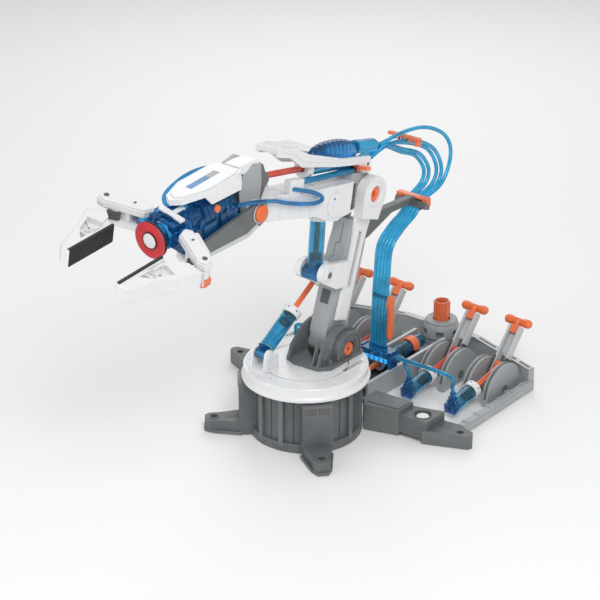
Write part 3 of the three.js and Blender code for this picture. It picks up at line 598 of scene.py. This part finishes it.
def add_cheek_rims():
    """Raised dark bands round the lever cheeks, partly the curved rims' own textured grey and partly
    painted shade on them, and a washer at each pivot.
    """
    x, z = LEVER_PIVOT
    for side, name in ((1, "left"), (-1, "right")):
        bands = Form()
        caps = Form()
        for y in (47, 100):
            for low, high in ((y - 14, y - 11), (y + 11, y + 14)):
                rings = []
                for cx, cz in arc(x, 6, CHEEK_R, 4, 176, 30):
                    ux, uz = (cx - x) / CHEEK_R, (cz - 6) / CHEEK_R
                    rings.append([(cx, side * low, cz), (cx, side * high, cz),
                                  (cx - ux * 2.2, side * high, cz - uz * 2.2),
                                  (cx - ux * 2.2, side * low, cz - uz * 2.2)])
                bands.rings(rings)
            caps.rod(4.6, (x, side * (y + 15.8), z + 1), (x, side * (y + 16.9), z + 1), 24, 0.3)
            caps.rod(2, (x, side * (y + 16.8), z + 1), (x, side * (y + 17.2), z + 1), 16)
        # The bands' dark grey is partly the rim's textured surface and partly painted shade of the curved
        # rim.
        bands.made(f"cheek_rim_texture_and_shade_{name}", "dark_plastic", "base", ROW, 0.3)
        caps.made(f"pivot_caps_{name}", "dark_plastic", "base", ROW, 0.2)


def along(p, q, t):
    return (p[0] + (q[0] - p[0]) * t, p[1] + (q[1] - p[1]) * t)


def strip(form, p, q, width, low, high):
    """Narrow bar over the floor line from p to q."""
    way = Vector((q[0] - p[0], q[1] - p[1])).normalized()
    n = Vector((-way.y, way.x)) * width / 2
    form.prism([(p[0] - n.x, p[1] - n.y), (q[0] - n.x, q[1] - n.y), (q[0] + n.x, q[1] + n.y),
                (p[0] + n.x, p[1] + n.y)], low, high)


def add_wall_details():
    wall = ((-227.5, 23), (-227.5, 44), (-216.5, 78), (-206.5, 109), (-200.5, 128))
    for side, name in ((1, "left"), (-1, "right")):
        line = [(x, y * side) for x, y in wall]
        dark, pale = Form(), Form()
        # The near-black strips are painted shade in the slots along the wall top.
        for p, q in zip(line[1:4], line[2:5]):
            strip(dark, along(p, q, 0.12), along(p, q, 0.88), 2.6, 24.6, 25.25)
        for p, q in zip(line, line[1:]):
            strip(pale, p, q, 7.6, 24.9, 25.15)
            strip(pale, along(p, q, 0.02), along(p, q, 0.98), 7.9, 3, 5)
        dark.made(f"wall_slot_shade_{name}", "deep_grey", "base", ROW, 0)
        pale.made(f"wall_trim_{name}", "light_grey", "base", ROW, 0.2)
        rail = Form().box(-200, -80, side * 123.6, side * 130.2, 9.9, 11)
        rail.box(-198, -82, side * 130, side * 130.4, 3, 7)
        for k in range(6):
            rail.box(-190 + k * 20, -187 + k * 20, side * 123.4, side * 130.2, 10.8, 12)
        rail.made(f"rail_trim_{name}", "grey_plastic", "base", ROW, 0.3)


def add_front_details():
    for side, name in ((1, "left"), (-1, "right")):
        disc = Form().rod(6.2, (-56, side * 99, 20), (-56, side * 99, 21.6), 36, 0.5)
        disc.made(f"console_disc_{name}", "pale", "base", ROW, 0.3)
        ring = Form().turned([(8.4, 19.9), (10.2, 19.9), (10.2, 23.6), (8.4, 23.6)], (-56, side * 99, 0),
                             closed=True)
        ring.made(f"console_ring_{name}", "dark_plastic", "base", ROW, 0.4)
        # Near-black strips and box at the console's clip holes and slots: painted shade inside the
        # openings.
        holes = Form()
        strip(holes, (-50, side * 60), (-50, side * 70), 9, 26.6, 27.12)
        strip(holes, (-46, side * 84), (-46, side * 90), 5, 22.6, 23.12)
        strip(holes, (-62, side * 114), (-64, side * 126), 1.6, 13.6, 14.1)
        holes.box(-41.4, -40.7, side * 62, side * 70, 16, 22)
        holes.made(f"console_clip_hole_shade_{name}", "deep_grey", "base", ROW, 0)
        lid = Form().prism([(-38, side * 46), (-61, side * 46), (-62.5, side * 80), (-43, side * 79)], 27,
                           27.9)
        lid.rod(2, (-55, side * 50, 27), (-55, side * 50, 28.4), 20, 0.3)
        lid.made(f"console_lid_{name}", "dark_plastic", "base", ROW, 0.4)


def add_trough_details():
    floor = Form().box(-204, -76, -16.3, 16.3, 5, 5.6)
    for k in range(9):
        floor.box(-200 + 14 * k, -197 + 14 * k, -16.2, 16.2, 5.4, 8)
    floor.made("trough_floor", "deep_grey", "base", ROW, 0.2)
    for side, name in ((1, "left"), (-1, "right")):
        edge = Form().box(-206, -73, side * 16.5, side * 19.9, 22.8, 23.8)
        edge.made(f"trough_edge_{name}", "light_grey", "base", ROW, 0.3)


def add_knob_details():
    place = Matrix.Translation((KNOB_X, 0, 0))
    ring = Form().turned([(9, 30.9), (16.8, 30.9), (16.8, 33), (15.8, 33.8), (9, 33.8)], closed=True)
    ring.made("knob_collar", "grey_plastic", "base", place, 0.3)
    knob = Form()
    for k in range(8):
        a = (k * 45 + 22.5) * DEG
        knob.rod(0.9, (8.0 * math.cos(a), 8.0 * math.sin(a), 36),
                 (8.0 * math.cos(a), 8.0 * math.sin(a), 53), 10)
    knob.turned([(4.6, 53.7), (6.4, 53.7), (6.4, 54), (4.6, 54)], closed=True)
    knob.made("knob_ribs", "orange_plastic", "knob_body", place, 0)
    # Near-black disc at the bottom of the knob's hollow: painted shade in the hollow.
    well = Form().rod(4.4, (0, 0, 44.1), (0, 0, 44.6))
    well.made("knob_well_shade", "deep_grey", "knob_body", place, 0)
    frame["nodes"]["knob_housing"].data.materials[0] = MATERIALS["grey_plastic"]


# ---------------------------------------------------------------- base and turntable
def add_base_details():
    for turn, name in ((PILLAR_TURN, "left"), (-PILLAR_TURN, "right")):
        place = Matrix.Rotation(turn * DEG, 4, "Z")
        dark = Form()
        # The near-black boxes in each pillar's two windows are painted shade in the openings.
        for y in (-6.7, 6.7):
            dark.box(64.7, 65.12, y - 5.6, y + 5.6, 46, 53)
        dark.box(64.8, 78, -0.7, 0.7, 12.7, 13.15)
        dark.box(98.2, 98.7, -4.6, 4.6, 3, 4)
        dark.made(f"pillar_windows_{name}", "deep_grey", "base", place, 0)
        trim = Form().box(64.8, 65.7, -0.9, 0.9, 45, 54).box(64.8, 65.6, -14, 14, 53.2, 55)
        trim.turned([(HOLE_R, 12.9), (HOLE_R + 1.8, 12.9), (HOLE_R + 1.8, 13.7), (HOLE_R, 13.7)],
                    (FOOT_HOLE_X, 0, 0), closed=True)
        trim.made(f"foot_trim_{name}", "dark_plastic", "base", place, 0.25)
    band = Form().turned([(DRUM_R, 54.2), (54.4, 54.2), (54.4, 56.5), (DRUM_R, 56.5)], sides=96,
                         closed=True)
    band.turned([(DRUM_R, 6.4), (54.8, 6.4), (54.8, 9), (DRUM_R, 9)], sides=96, closed=True)
    band.made("drum_bands", "dark_plastic", "base", ROW, 0.3)
    seams = Form()
    for k in range(14):
        a = k * 2 * math.pi / 14
        x, y = 52.15 * math.cos(a), 52.15 * math.sin(a)
        seams.rod(0.5, (x, y, 9), (x, y, 54), 8)
    seams.made("drum_seams", "deep_grey", "base", ROW, 0)


def add_table_details():
    rim = Form().turned([(57, 68.8), (60.2, 68.8), (60.2, 69.2), (59.4, 70.4), (57.6, 70.5), (57, 70.1)],
                        sides=128, closed=True)
    rim.turned([(60.5, 57.6), (62.1, 57.6), (62.1, 59.4), (60.5, 60.4)], sides=128, closed=True)
    rim.made("table_rim", "white_plastic", "turntable_body", ROW, 0.2)
    line = Form().turned([(40.55, 69.35), (41.45, 69.35), (41.45, 69.6), (40.55, 69.6)], sides=128,
                         closed=True)
    # The near-black box at the bottom of the slot is painted shade in the slot; the thin dark ring is a
    # joint line.
    line.box(-35.8, -7.2, 38.2, 42.8, 65.9, 66.5)
    line.made("table_slot_floor", "deep_grey", "turntable_body", ROW, 0)
    lip = Form()
    for y0, y1 in ((36.6, 38), (43, 44.4)):
        lip.box(-37.4, -5.6, y0, y1, 69.9, 70.9)
    lip.made("table_slot_lip", "white_plastic", "turntable_body", ROW, 0.3)
    clevis = Form()
    for s in (-1, 1):
        y = CYL_Y + s * 10
        clevis.rod(4.2, (CYL_FOOT[0], y, CYL_FOOT[1]), (CYL_FOOT[0], y + s * 0.9, CYL_FOOT[1]), 28, 0.3)
        clevis.box(26, 28, y - 0.1, y + s * 1.6, 71, 84)
        clevis.box(42, 44, y - 0.1, y + s * 1.6, 71, 82)
    clevis.made("clevis_ribs", "white_plastic", "turntable_body", ROW, 0.3)


def add_shoulder_details():
    x, z = SHOULDER
    place = Matrix.Translation((x, 0, z)) @ Matrix.Rotation(-math.pi / 2, 4, "X")
    rings = Form()
    for r0, r1, h in ((16, 18, 30.4), (11.6, 13.6, 30), (8.4, 9.8, 29.8)):
        rings.turned([(r0, 28.6), (r1, 28.6), (r1, h - 0.5), (r1 - 0.5, h), (r0, h)], sides=64,
                     closed=True)
    rings.made("shoulder_rings", "dark_plastic", "turntable_body", place, 0.25)
    core = Form().turned([(2.2, 26.4), (7.2, 26.4), (7.2, 27.6), (6, 28.6), (2.2, 28.2)], closed=True)
    core.made("shoulder_core", "orange_plastic", "turntable_body", place, 0.2)
    # Near-black disc in the centre hole and ring in the groove round the core: painted shade in the hole
    # and groove.
    well = Form().rod(2.1, (0, 0, 26.45), (0, 0, 26.8))
    well.turned([(7.3, 26.6), (8.2, 26.6), (8.2, 27), (7.3, 27)], closed=True)
    well.made("shoulder_well_shade", "deep_grey", "turntable_body", place, 0)
    ribs = Form()
    for k in range(5):
        ribs.prism([(-48 + 11 * k, 74), (-46.4 + 11 * k, 74), (-46.4 + 11 * k, 79), (-48 + 11 * k, 79)],
                   23, 29, "XZ")
    ribs.prism([(4, 74), (11, 74), (2, 96), (-1, 97)], 14.5, 16.2, "XZ")
    ribs.prism([(4, 74), (11, 74), (2, 96), (-1, 97)], 20.8, 22.5, "XZ")
    ribs.made("shoulder_ribs", "dark_plastic", "turntable_body", ROW, 0.4)


# ---------------------------------------------------------------- lower arm
def add_lower_arm_details():
    top = gap(SHOULDER, ELBOW)
    body = "lower_arm_body"
    dark = Form().box(-2.5, 2.5, 9.9, 10.15, 58, 112).box(15.9, 16.12, -5, 5, 38, 52)
    for z0, z1, y in ((98, 118, 3), (84, 98, -1), (66, 84, -4)):
        dark.box(15.95, 16.1, y - 0.25, y + 0.25, z0, z1)
    for z, y0, y1 in ((98, -1, 3), (84, -4, -1)):
        dark.box(15.95, 16.1, y0, y1, z - 0.25, z + 0.25)
    dark.box(-9.1, 9.1, 10.0, 10.2, 27, 50)
    dark.made("arm_seams", "deep_grey", body, ARM, 0)
    lip = Form()
    for x0, x1 in ((-3.6, -2.6), (2.6, 3.6)):
        lip.box(x0, x1, 12.6, 13.6, 57, 113)
    lip.box(-3.6, 3.6, 12.6, 13.6, 112, 113.4).box(-3.6, 3.6, 12.6, 13.6, 56.8, 58)
    for s in (-1, 1):
        lip.turned([(8, 0), (12.6, 0), (12.6, 0.6), (11.4, 1.4), (9, 1.4), (8, 0.5)],
                   (0, s * 20.8, top), (0, s, 0), 56, True)
        lip.prism([(-8, 25), (8, 25), (7, 52), (-7, 52)], s * 12.5, s * 13.5, "XZ")
    lip.made("cover_trim", "white_plastic", body, ARM, 0.35)
    recess = Form().turned([(2.6, 0), (7.3, 0), (7.3, 0.5), (5.4, 0.3), (2.6, -1)], (0, 17.6, top),
                           (0, 1, 0), 48, True)
    recess.made("elbow_recess", "orange_plastic", "forearm_body", ARM, 0.1)


def add_front_bracket_details():
    x, z = FRONT_PIN
    screws = Form()
    wells = Form()
    for s in (-1, 1):
        screws.rod(7, (x, s * 16.4, z), (x, s * 17.8, z), 36, 0.5)
        screws.turned([(3.4, 0), (4.6, 0), (4.6, 1.2), (3.4, 1.2)], (x, s * 17.7, z), (0, s, 0), 36, True)
        wells.rod(3.2, (x, s * 17.7, z), (x, s * 18.2, z), 28, 0.2)
    screws.made("bracket_bosses", "white_plastic", "lower_arm_body", ROW, 0.3)
    wells.made("bracket_screws", "dark_plastic", "lower_arm_body", ROW, 0.1)


# ---------------------------------------------------------------- forearm
def add_forearm_details():
    body = "forearm_body"
    white = Form()
    for s in (-1, 1):
        white.rod(12, (56, s * FORE_SIDE, -6), (56, s * 18.6, -6), 44, 0.8)
        white.prism([(44, -14), (68, -14), (62, -21), (50, -21)], s * FORE_SIDE, s * 17.6, "XZ")
        white.prism([(118, 4), (148, 8), (147, 13), (117, 12)], s * 16.5, s * 18, "XZ")
    white.box(112, 131, 11.8, 19.6, 12.6, 25).box(114, 129, 11.8, 18.6, 9, 13)
    white.made("forearm_bosses", "white_plastic", body, FORE, 0.7)
    dark = Form().rod(1.2, (61, 18.4, 1), (61, 18.8, 1), 16).box(27.8, 31.6, 11, 16.75, -13, 13)
    for z in (-9.5, 9.5):
        dark.rod(1.9, (29.8, 16.6, z), (29.8, 17.3, z), 20)
    dark.made("forearm_strip", "deep_grey", body, FORE, 0.3)


def add_wrist_water_dome():
    """Ribbed clear dome over the wrist cylinder, and the hose nozzle behind it."""
    back, length, middle, half = 12.5, 71, 48, 36
    steps, sides = 48, 32
    rings = []
    for k in range(steps + 1):
        x = back + length * k / steps
        swell = max(0.03, 1 - ((x - middle) / half) ** 2) ** 0.42 * (1 + 0.03 * math.cos(k * 1.57))
        turns = [a * 2 * math.pi / sides for a in range(sides)]
        rings.append([(x, 9.1 * swell * math.cos(a), 39.5 + 12.5 * swell * math.sin(a)) for a in turns])
    dome = Form().rings(rings)
    dome.made("wrist_water_dome", "clear_blue", "forearm_body", FORE, 0)
    end = Form().turned([(3, 0), (6.6, 0.5), (6.6, 30), (5.4, 32), (2.9, 38), (2.6, 40)], (16, 0, 42.6),
                        (-1, 0, -0.02), 36)
    end.made("wrist_water_end", "hose_blue", "forearm_body", FORE, 0.2)


def add_forearm_hoses():
    for k, y in enumerate((3, 7.4)):
        path = [(20, y, 22.5), (40, y, 21), (70, y, 19), (100, y + 2, 18.5), (113, y + 5, 18)]
        path = [tuple(FORE @ Vector(p)) for p in path]
        Form().tube(path, HOSE_R, 14, 6).made(f"forearm_hose_{k + 1}", "hose_blue", "forearm_body", ROW,
                                              0)


def add_beam_details():
    trim = Form()
    outer = [(22, 33), (60, 34), (108, 39), (126, 48), (142, 50), (142, 51.4), (126, 50), (104, 42.4),
             (60, 36), (24, 35.4)]
    for s in (-1, 1):
        trim.prism(outer, s * BEAM_SIDE, s * 14.2, "XZ")
        trim.rod(4.6, (10, s * BEAM_SIDE, 29), (10, s * 14.5, 29), 32, 0.4)
    trim.box(100, 144.5, -BEAM_SIDE, BEAM_SIDE, 50.6, 52.9)
    trim.made("beam_trim", "white_plastic", "forearm_body", FORE, 0.6)
    # Near-black discs at the beam's holes: painted shade inside the holes.
    holes = Form()
    for s in (-1, 1):
        holes.rod(1.7, (10, s * 14.4, 29), (10, s * 14.7, 29), 18)
    holes.made("beam_hole_shade", "deep_grey", "forearm_body", FORE, 0)


# ---------------------------------------------------------------- wrist
def add_wrist_shells():
    body = "wrist_body"
    crank = Form()
    side = [(9, -6), (14, 4), (14, 22), (6, 38), (-6, 44), (-18, 40), (-16, 20), (-9, 0)]
    for s in (-1, 1):
        crank.prism(side, s * SHELL_SIDE, s * 11.1, "XZ")
    crank.made("wrist_shells", "grey_plastic", body, WRIST_FRAME, 1.0)
    trough = Form()
    for s in (-1, 1):
        trough.prism([(20, -15.4), (72, -11.4), (77, -6), (76, -3.4), (70, -8), (20, -11.4), (6, -8),
                      (4, -11)], s * 20.3, s * 21.6, "XZ")
        trough.turned([(8.2, 0), (9.6, 0), (9.6, 0.7), (8.2, 0.7)], (0, s * TROUGH_SIDE, 0), (0, s, 0),
                      44, True)
    trough.made("trough_rims", "light_grey", body, WRIST_FRAME, 0.5)
    pins = Form()
    for s in (-1, 1):
        pins.turned([(0.6, 1.4), (4.5, 1.2), (7, 0.4), (7.7, 0)], (0, s * 23.4, 0), (0, s, 0), 40)
    pins.made("wrist_pin_caps", "orange_plastic", body, WRIST_FRAME, 0)


def add_wrist_water():
    body = "wrist_body"
    button = Form().rod(3.6, (47, 11.5, 23), (47, 15.4, 23), 32, 0.7)
    button.made("wrist_button", "orange_plastic", body, WRIST_FRAME, 0.3)
    blue = Form().box(26, 44, 12.8, 15, 4, 16)
    blue.box(50, 66, 12.8, 15, 2, 14)
    blue.rod(8, (30, 6, 14), (30, 15.8, 14), 30, 0.6)
    blue.box(62, 76, -9, 9, 10, 14).rod(3, (66, 9, 26), (80, 9, 27), 20, 0.4)
    for k in range(5):
        blue.turned([(13.8, 0), (14.8, 0), (14.8, 2), (13.8, 2)], (27 + 7 * k, 0, HAND_AXIS_Z), (1, 0, 0),
                    48, True)
    blue.made("wrist_water_ribs", "clear_blue", body, WRIST_FRAME, 0.4)


def add_wrist_cover():
    body = "wrist_body"
    cover = Form()
    cover.prism([(14, -12.5), (22, -15.5), (58, -16), (80, -8), (85, 0), (80, 8), (58, 16), (22, 15.5),
                 (14, 12.5)], 45.8, 47.2)
    cover.made("wrist_cover_crown", "white_plastic", body, WRIST_FRAME, 1.1)
    window = Form().box(40.5, 65.5, -3.4, 3.4, 47.0, 47.5)
    window.made("wrist_window", "clear_blue", body, WRIST_FRAME, 0.3)
    inset = Form().box(28, 40, -3.6, 3.6, 47.0, 47.4)
    inset.made("wrist_cover_inset", "grey_plastic", body, WRIST_FRAME, 0.1)
    block = Form().prism([(8, 38), (12, 47), (2, 46.4), (-14, 44.8), (-16, 38), (-6, 34)], -7, 11, "XZ")
    block.made("wrist_claw", "white_plastic", body, WRIST_FRAME, 1.4)
    wing = Form().prism([(14, 42), (-10, 45), (-14, 42), (6, 38)], -15, -8.5, "XZ")
    wing.made("wrist_wing", "grey_plastic", body, WRIST_FRAME, 0.8)


def add_wrist_hoses():
    fore = [(128, 19, 17), (119, 20.6, 15.8), (100, 20.8, 12), (86, 20.8, 7), (84, 20.8, 3),
            (94, 20.8, 1), (115, 20.8, 2.5), (138, 21, 6), (152, 21, 9)]
    wrist = [(2, 23.8, 13), (14, 21.5, 16), (26, 17.4, 17.5)]
    path = [tuple(FORE @ Vector(p)) for p in fore] + [tuple(WRIST_FRAME @ Vector(p)) for p in wrist]
    a, b = FORE @ Vector((150, 20, 9)), WRIST_FRAME @ Vector((18, 20, 16))
    add_bent_hose("wrist_side_hose", path, "forearm_body", a, b, finish="clear_blue")
    line = [(77, -6, 32), (80, -14, 34), (72, -22, 38), (52, -24, 42), (34, -22, 44), (20, -18, 43),
            (12, -13, 40)]
    path = [tuple(WRIST_FRAME @ Vector(p)) for p in line]
    Form().tube(path, HOSE_R, 14, 6).made("wrist_top_hose", "clear_blue", "wrist_body", ROW, 0)


# ---------------------------------------------------------------- hand
def add_hand_details():
    cup = Form().turned([(0.6, 112.6), (9, 112.8), (12, 114), (16.6, 116.9), (17, 117.4), (16.6, 118),
                         (12.6, 118.3), (8.2, 117.6), (7.6, 118)], (0, 0, 0), (1, 0, 0), 72)
    cup.made("suction_lip", "red_rubber", "hand", HAND, 0, ["suction_cup"])
    core = Form().rod(6.8, (117, 0, 0), (119, 0, 0), 44, 0.5)
    core.made("suction_core", "pale", "hand", HAND, 0.2)
    rim = Form().turned([(6.9, 118.0), (7.9, 118.0), (7.9, 118.5), (6.9, 118.5)], (0, 0, 0), (1, 0, 0),
                        56, True)
    rim.turned([(12.8, 110.4), (16.4, 114), (16.9, 116.2), (15.4, 115.4), (12.4, 112.4)], (0, 0, 0),
               (1, 0, 0), 56, True)
    rim.made("suction_rim", "black_rubber", "hand", HAND, 0.1)
    hub = Form()
    for k in range(4):
        hub.turned([(12.9, 0), (14.2, 0), (14.2, 2.4), (12.9, 2.4)], (82 + 6.4 * k, 0, 0), (1, 0, 0), 44,
                   True)
    for s in (-1, 1):
        hub.box(84, 104, s * 9 - 3, s * 9 + 3, 7, 13.6).box(86, 100, s * 17 - 3.4, s * 17 + 3.4, 4.6, 9)
        hub.rod(3.4, (98, s * 24, 4.8), (98, s * 24, 12.6), 26, 0.5)
        hub.rod(2.4, (92, s * 6, 9), (92, s * 6, 15.4), 18)
    hub.box(80, 98, -4, 4, 11, 16.4)
    hub.made("hand_water_block", "clear_blue", "hand", HAND, 0.6)
    tee = Form().box(90, 96, -13, 13, 14.6, 17.2).box(78, 94, -2.4, 2.4, 14.8, 17)
    tee.made("hand_tee_bar", "white_plastic", "hand", HAND, 0.6)


def mirrored(points, s):
    return [(x, y * s) for x, y in points]


def add_finger_details():
    x0, y0 = LINK_IN
    x1, y1 = LINK_OUT
    for s, name in ((1, "near"), (-1, "far")):
        body = f"finger_{name}"
        crown = [(x0 - 5.6, y0), (x0 - 2, y0 - 6), (x0 + 6, y0 - 3.4), (x1 + 5.8, y1 - 2.4),
                 (x1 + 4, y1 + 5), (x1 - 3.4, y1 + 5.6), (x1 - 7, y1 + 0.6)]
        top = Form().prism(mirrored(crown, s), 10.9, 13.4)
        top.prism(mirrored([(x0 - 9, y0 + 4), (x0 - 6, y0 + 1), (x1 - 9, y1 - 8), (x1 - 12, y1 - 4)], s),
                  6, 11.6)
        top.made(f"finger_crown_{name}", "white_plastic", body, HAND, 1.3)
        # Near-black disc and strip at the finger's hole and slot: painted shade inside them.
        holes = Form()
        holes.rod(2.4, (x1, s * y1, 13.3), (x1, s * y1, 13.7), 22)
        holes.box(x0 + 3, x0 + 6, s * (y0 + 9) - 1, s * (y0 + 9) + 1, 13.3, 13.6)
        holes.made(f"finger_hole_shade_{name}", "deep_grey", body, HAND, 0)
        low = Form().prism(mirrored([(x1 - 8, y1 - 3), (x1 - 4, y1 - 9), (x1 + 6, y1 - 6),
                                     (x1 + 7.6, y1 + 1), (x1 + 4, y1 + 7), (x1 - 4, y1 + 7)], s), -12.4,
                           -5.3)
        low.turned([(3, 0), (6.6, 0), (6.6, 1.2), (3, 1.2)], (x1, s * y1, -13.4), (0, 0, 1), 36, True)
        low.made(f"finger_joint_{name}", "orange_plastic", body, HAND, 0.9)
        plate = Form().prism(mirrored([(x1 - 7, y1 - 2), (x1 - 3, y1 - 8), (x1 + 6, y1 - 5),
                                       (x1 + 6, y1 + 4), (x1 - 3, y1 + 6)], s), 5.1, 5.5)
        plate.made(f"finger_shim_{name}", "orange_plastic", body, HAND, 0)
        link = Form().prism(mirrored([(x0 + 14, y0 + 15), (x0 + 17, y0 + 15), (x1 + 9, y1 - 7),
                                      (x1 + 6, y1 - 5)], s), -4, 3.6)
        link.made(f"finger_strap_{name}", "deep_grey", body, HAND, 0.5)


def add_jaw_details():
    for s, name in ((1, "near"), (-1, "far")):
        body = f"grip_{name}"
        boss = JAW_BOSS
        ribs = Form()
        for low, high in ((2, 4.9), (-4.9, -2)):
            for ex, ey in ((139, 33.6), (153, 33), (166, 33.4), (161, 41.4), (143, 49)):
                way = Vector((ex - boss[0], ey - boss[1])).normalized()
                n = Vector((-way.y, way.x)) * 0.6
                ribs.prism(mirrored([(boss[0] - n.x, boss[1] - n.y), (ex - n.x, ey - n.y),
                                     (ex + n.x, ey + n.y), (boss[0] + n.x, boss[1] + n.y)], s), low, high)
            ribs.rod(2.2, (boss[0], s * boss[1], low), (boss[0], s * boss[1], high), 20)
        shell = [(134, 31), (136, 29.5), (187, 29.5), (188.8, 34), (184, 39.8), (160, 46.8), (140, 56.8),
                 (134, 59)]
        for p, q in zip(shell, shell[1:]):
            way = Vector((q[0] - p[0], q[1] - p[1])).normalized()
            n = Vector((-way.y, way.x)) * 1.5
            ribs.prism(mirrored([p, q, (q[0] + n.x, q[1] + n.y), (p[0] + n.x, p[1] + n.y)], s), -8.6, 8.6)
        ribs.box(171, 172.2, s * 30, s * 43, -8.2, 8.2).box(160, 161.2, s * 30, s * 46, -8.2, 8.2)
        ribs.made(f"jaw_frame_{name}", "white_plastic", body, HAND, 0.35)
        # Near-black disc at the jaw boss: painted shade in its bore.
        dark = Form().rod(0.9, (boss[0], s * boss[1], 4.8), (boss[0], s * boss[1], 5.2), 14)
        dark.made(f"jaw_bore_shade_{name}", "deep_grey", body, HAND, 0)
        pad = Form()
        count = 34
        for k in range(count):
            x = 134.2 + 53 * k / count
            pad.box(x, x + 53 / count * 0.62, s * 26.3, s * 27.4, -9.2, 9.2)
        pad.box(134, 187.4, s * 27.2, s * 29.1, -9.3, 9.3)
        pad.made(f"jaw_rubber_{name}", "black_rubber", body, HAND, 0.15, [f"jaw_pad_{name}"])
        tip = Form().prism(mirrored([(187.3, 26.4), (189, 28), (189, 34), (187.3, 34)], s), -8.8, 8.8)
        tip.made(f"jaw_tip_{name}", "pale", body, HAND, 0.5)


add_lever_cylinders()
add_arm_cylinders()
add_turn_cylinder()
add_hoses()
add_combs()
add_manifold()
add_lever_details()
add_cheek_rims()
add_wall_details()
add_front_details()
add_trough_details()
add_knob_details()
add_base_details()
add_table_details()
add_shoulder_details()
add_lower_arm_details()
add_front_bracket_details()
add_forearm_details()
add_wrist_water_dome()
add_forearm_hoses()
add_beam_details()
add_wrist_shells()
add_wrist_water()
add_wrist_cover()
add_wrist_hoses()
add_hand_details()
add_finger_details()
add_jaw_details()

# ---------------------------------------------------------------- stage
def add_floor():
    mesh = bpy.data.meshes.new("floor")
    half = 3
    low = -0.0006
    mesh.from_pydata([(-half, -half, low), (half, -half, low), (half, half, low), (-half, half, low)], [],
                     [(0, 1, 2, 3)])
    floor = bpy.data.objects.new("floor", mesh)
    bpy.context.scene.collection.objects.link(floor)
    material, nodes, _ = new_material("floor")
    nodes["Principled BSDF"].inputs["Base Color"].default_value = (0.97, 0.97, 0.97, 1)
    nodes["Principled BSDF"].inputs["Roughness"].default_value = 0.7
    mesh.materials.append(material)


def add_light(name, place, target, size, power):
    data = bpy.data.lights.new(name, "AREA")
    data.size = size
    data.energy = power
    lamp = bpy.data.objects.new(name, data)
    lamp.location = place
    lamp.rotation_euler = (Vector(target) - Vector(place)).to_track_quat("-Z", "Y").to_euler()
    bpy.context.scene.collection.objects.link(lamp)


def add_camera():
    azimuth = 38.97 * DEG
    elevation = 25.74 * DEG
    target = Vector((0, 0, 0.1))
    away = Vector((math.cos(azimuth) * math.cos(elevation), math.sin(azimuth) * math.cos(elevation),
                   math.sin(elevation)))
    data = bpy.data.cameras.new("camera")
    data.sensor_width = 36
    data.lens = 116.47
    data.shift_x = -0.0098
    data.shift_y = 0.056
    data.clip_end = 50
    camera = bpy.data.objects.new("camera", data)
    camera.location = target + away * 1.84656
    camera.rotation_euler = (-away).to_track_quat("-Z", "Y").to_euler()
    bpy.context.scene.collection.objects.link(camera)
    bpy.context.scene.camera = camera


def add_world():
    bpy.context.scene.view_settings.view_transform = "Standard"
    world = bpy.data.worlds.new("studio")
    world.use_nodes = True
    world.node_tree.nodes["Background"].inputs["Color"].default_value = (1, 1, 1, 1)
    world.node_tree.nodes["Background"].inputs["Strength"].default_value = 0.52
    bpy.context.scene.world = world


add_floor()
add_camera()
add_world()
CENTRE = (0, 0, 0.12)
add_light("key", (0.7, 0.9, 1.3), CENTRE, 0.7, 12)
add_light("fill", (1.2, -0.6, 0.7), CENTRE, 1.0, 3)
add_light("rim", (-1.0, -0.7, 1.0), CENTRE, 1.0, 5)
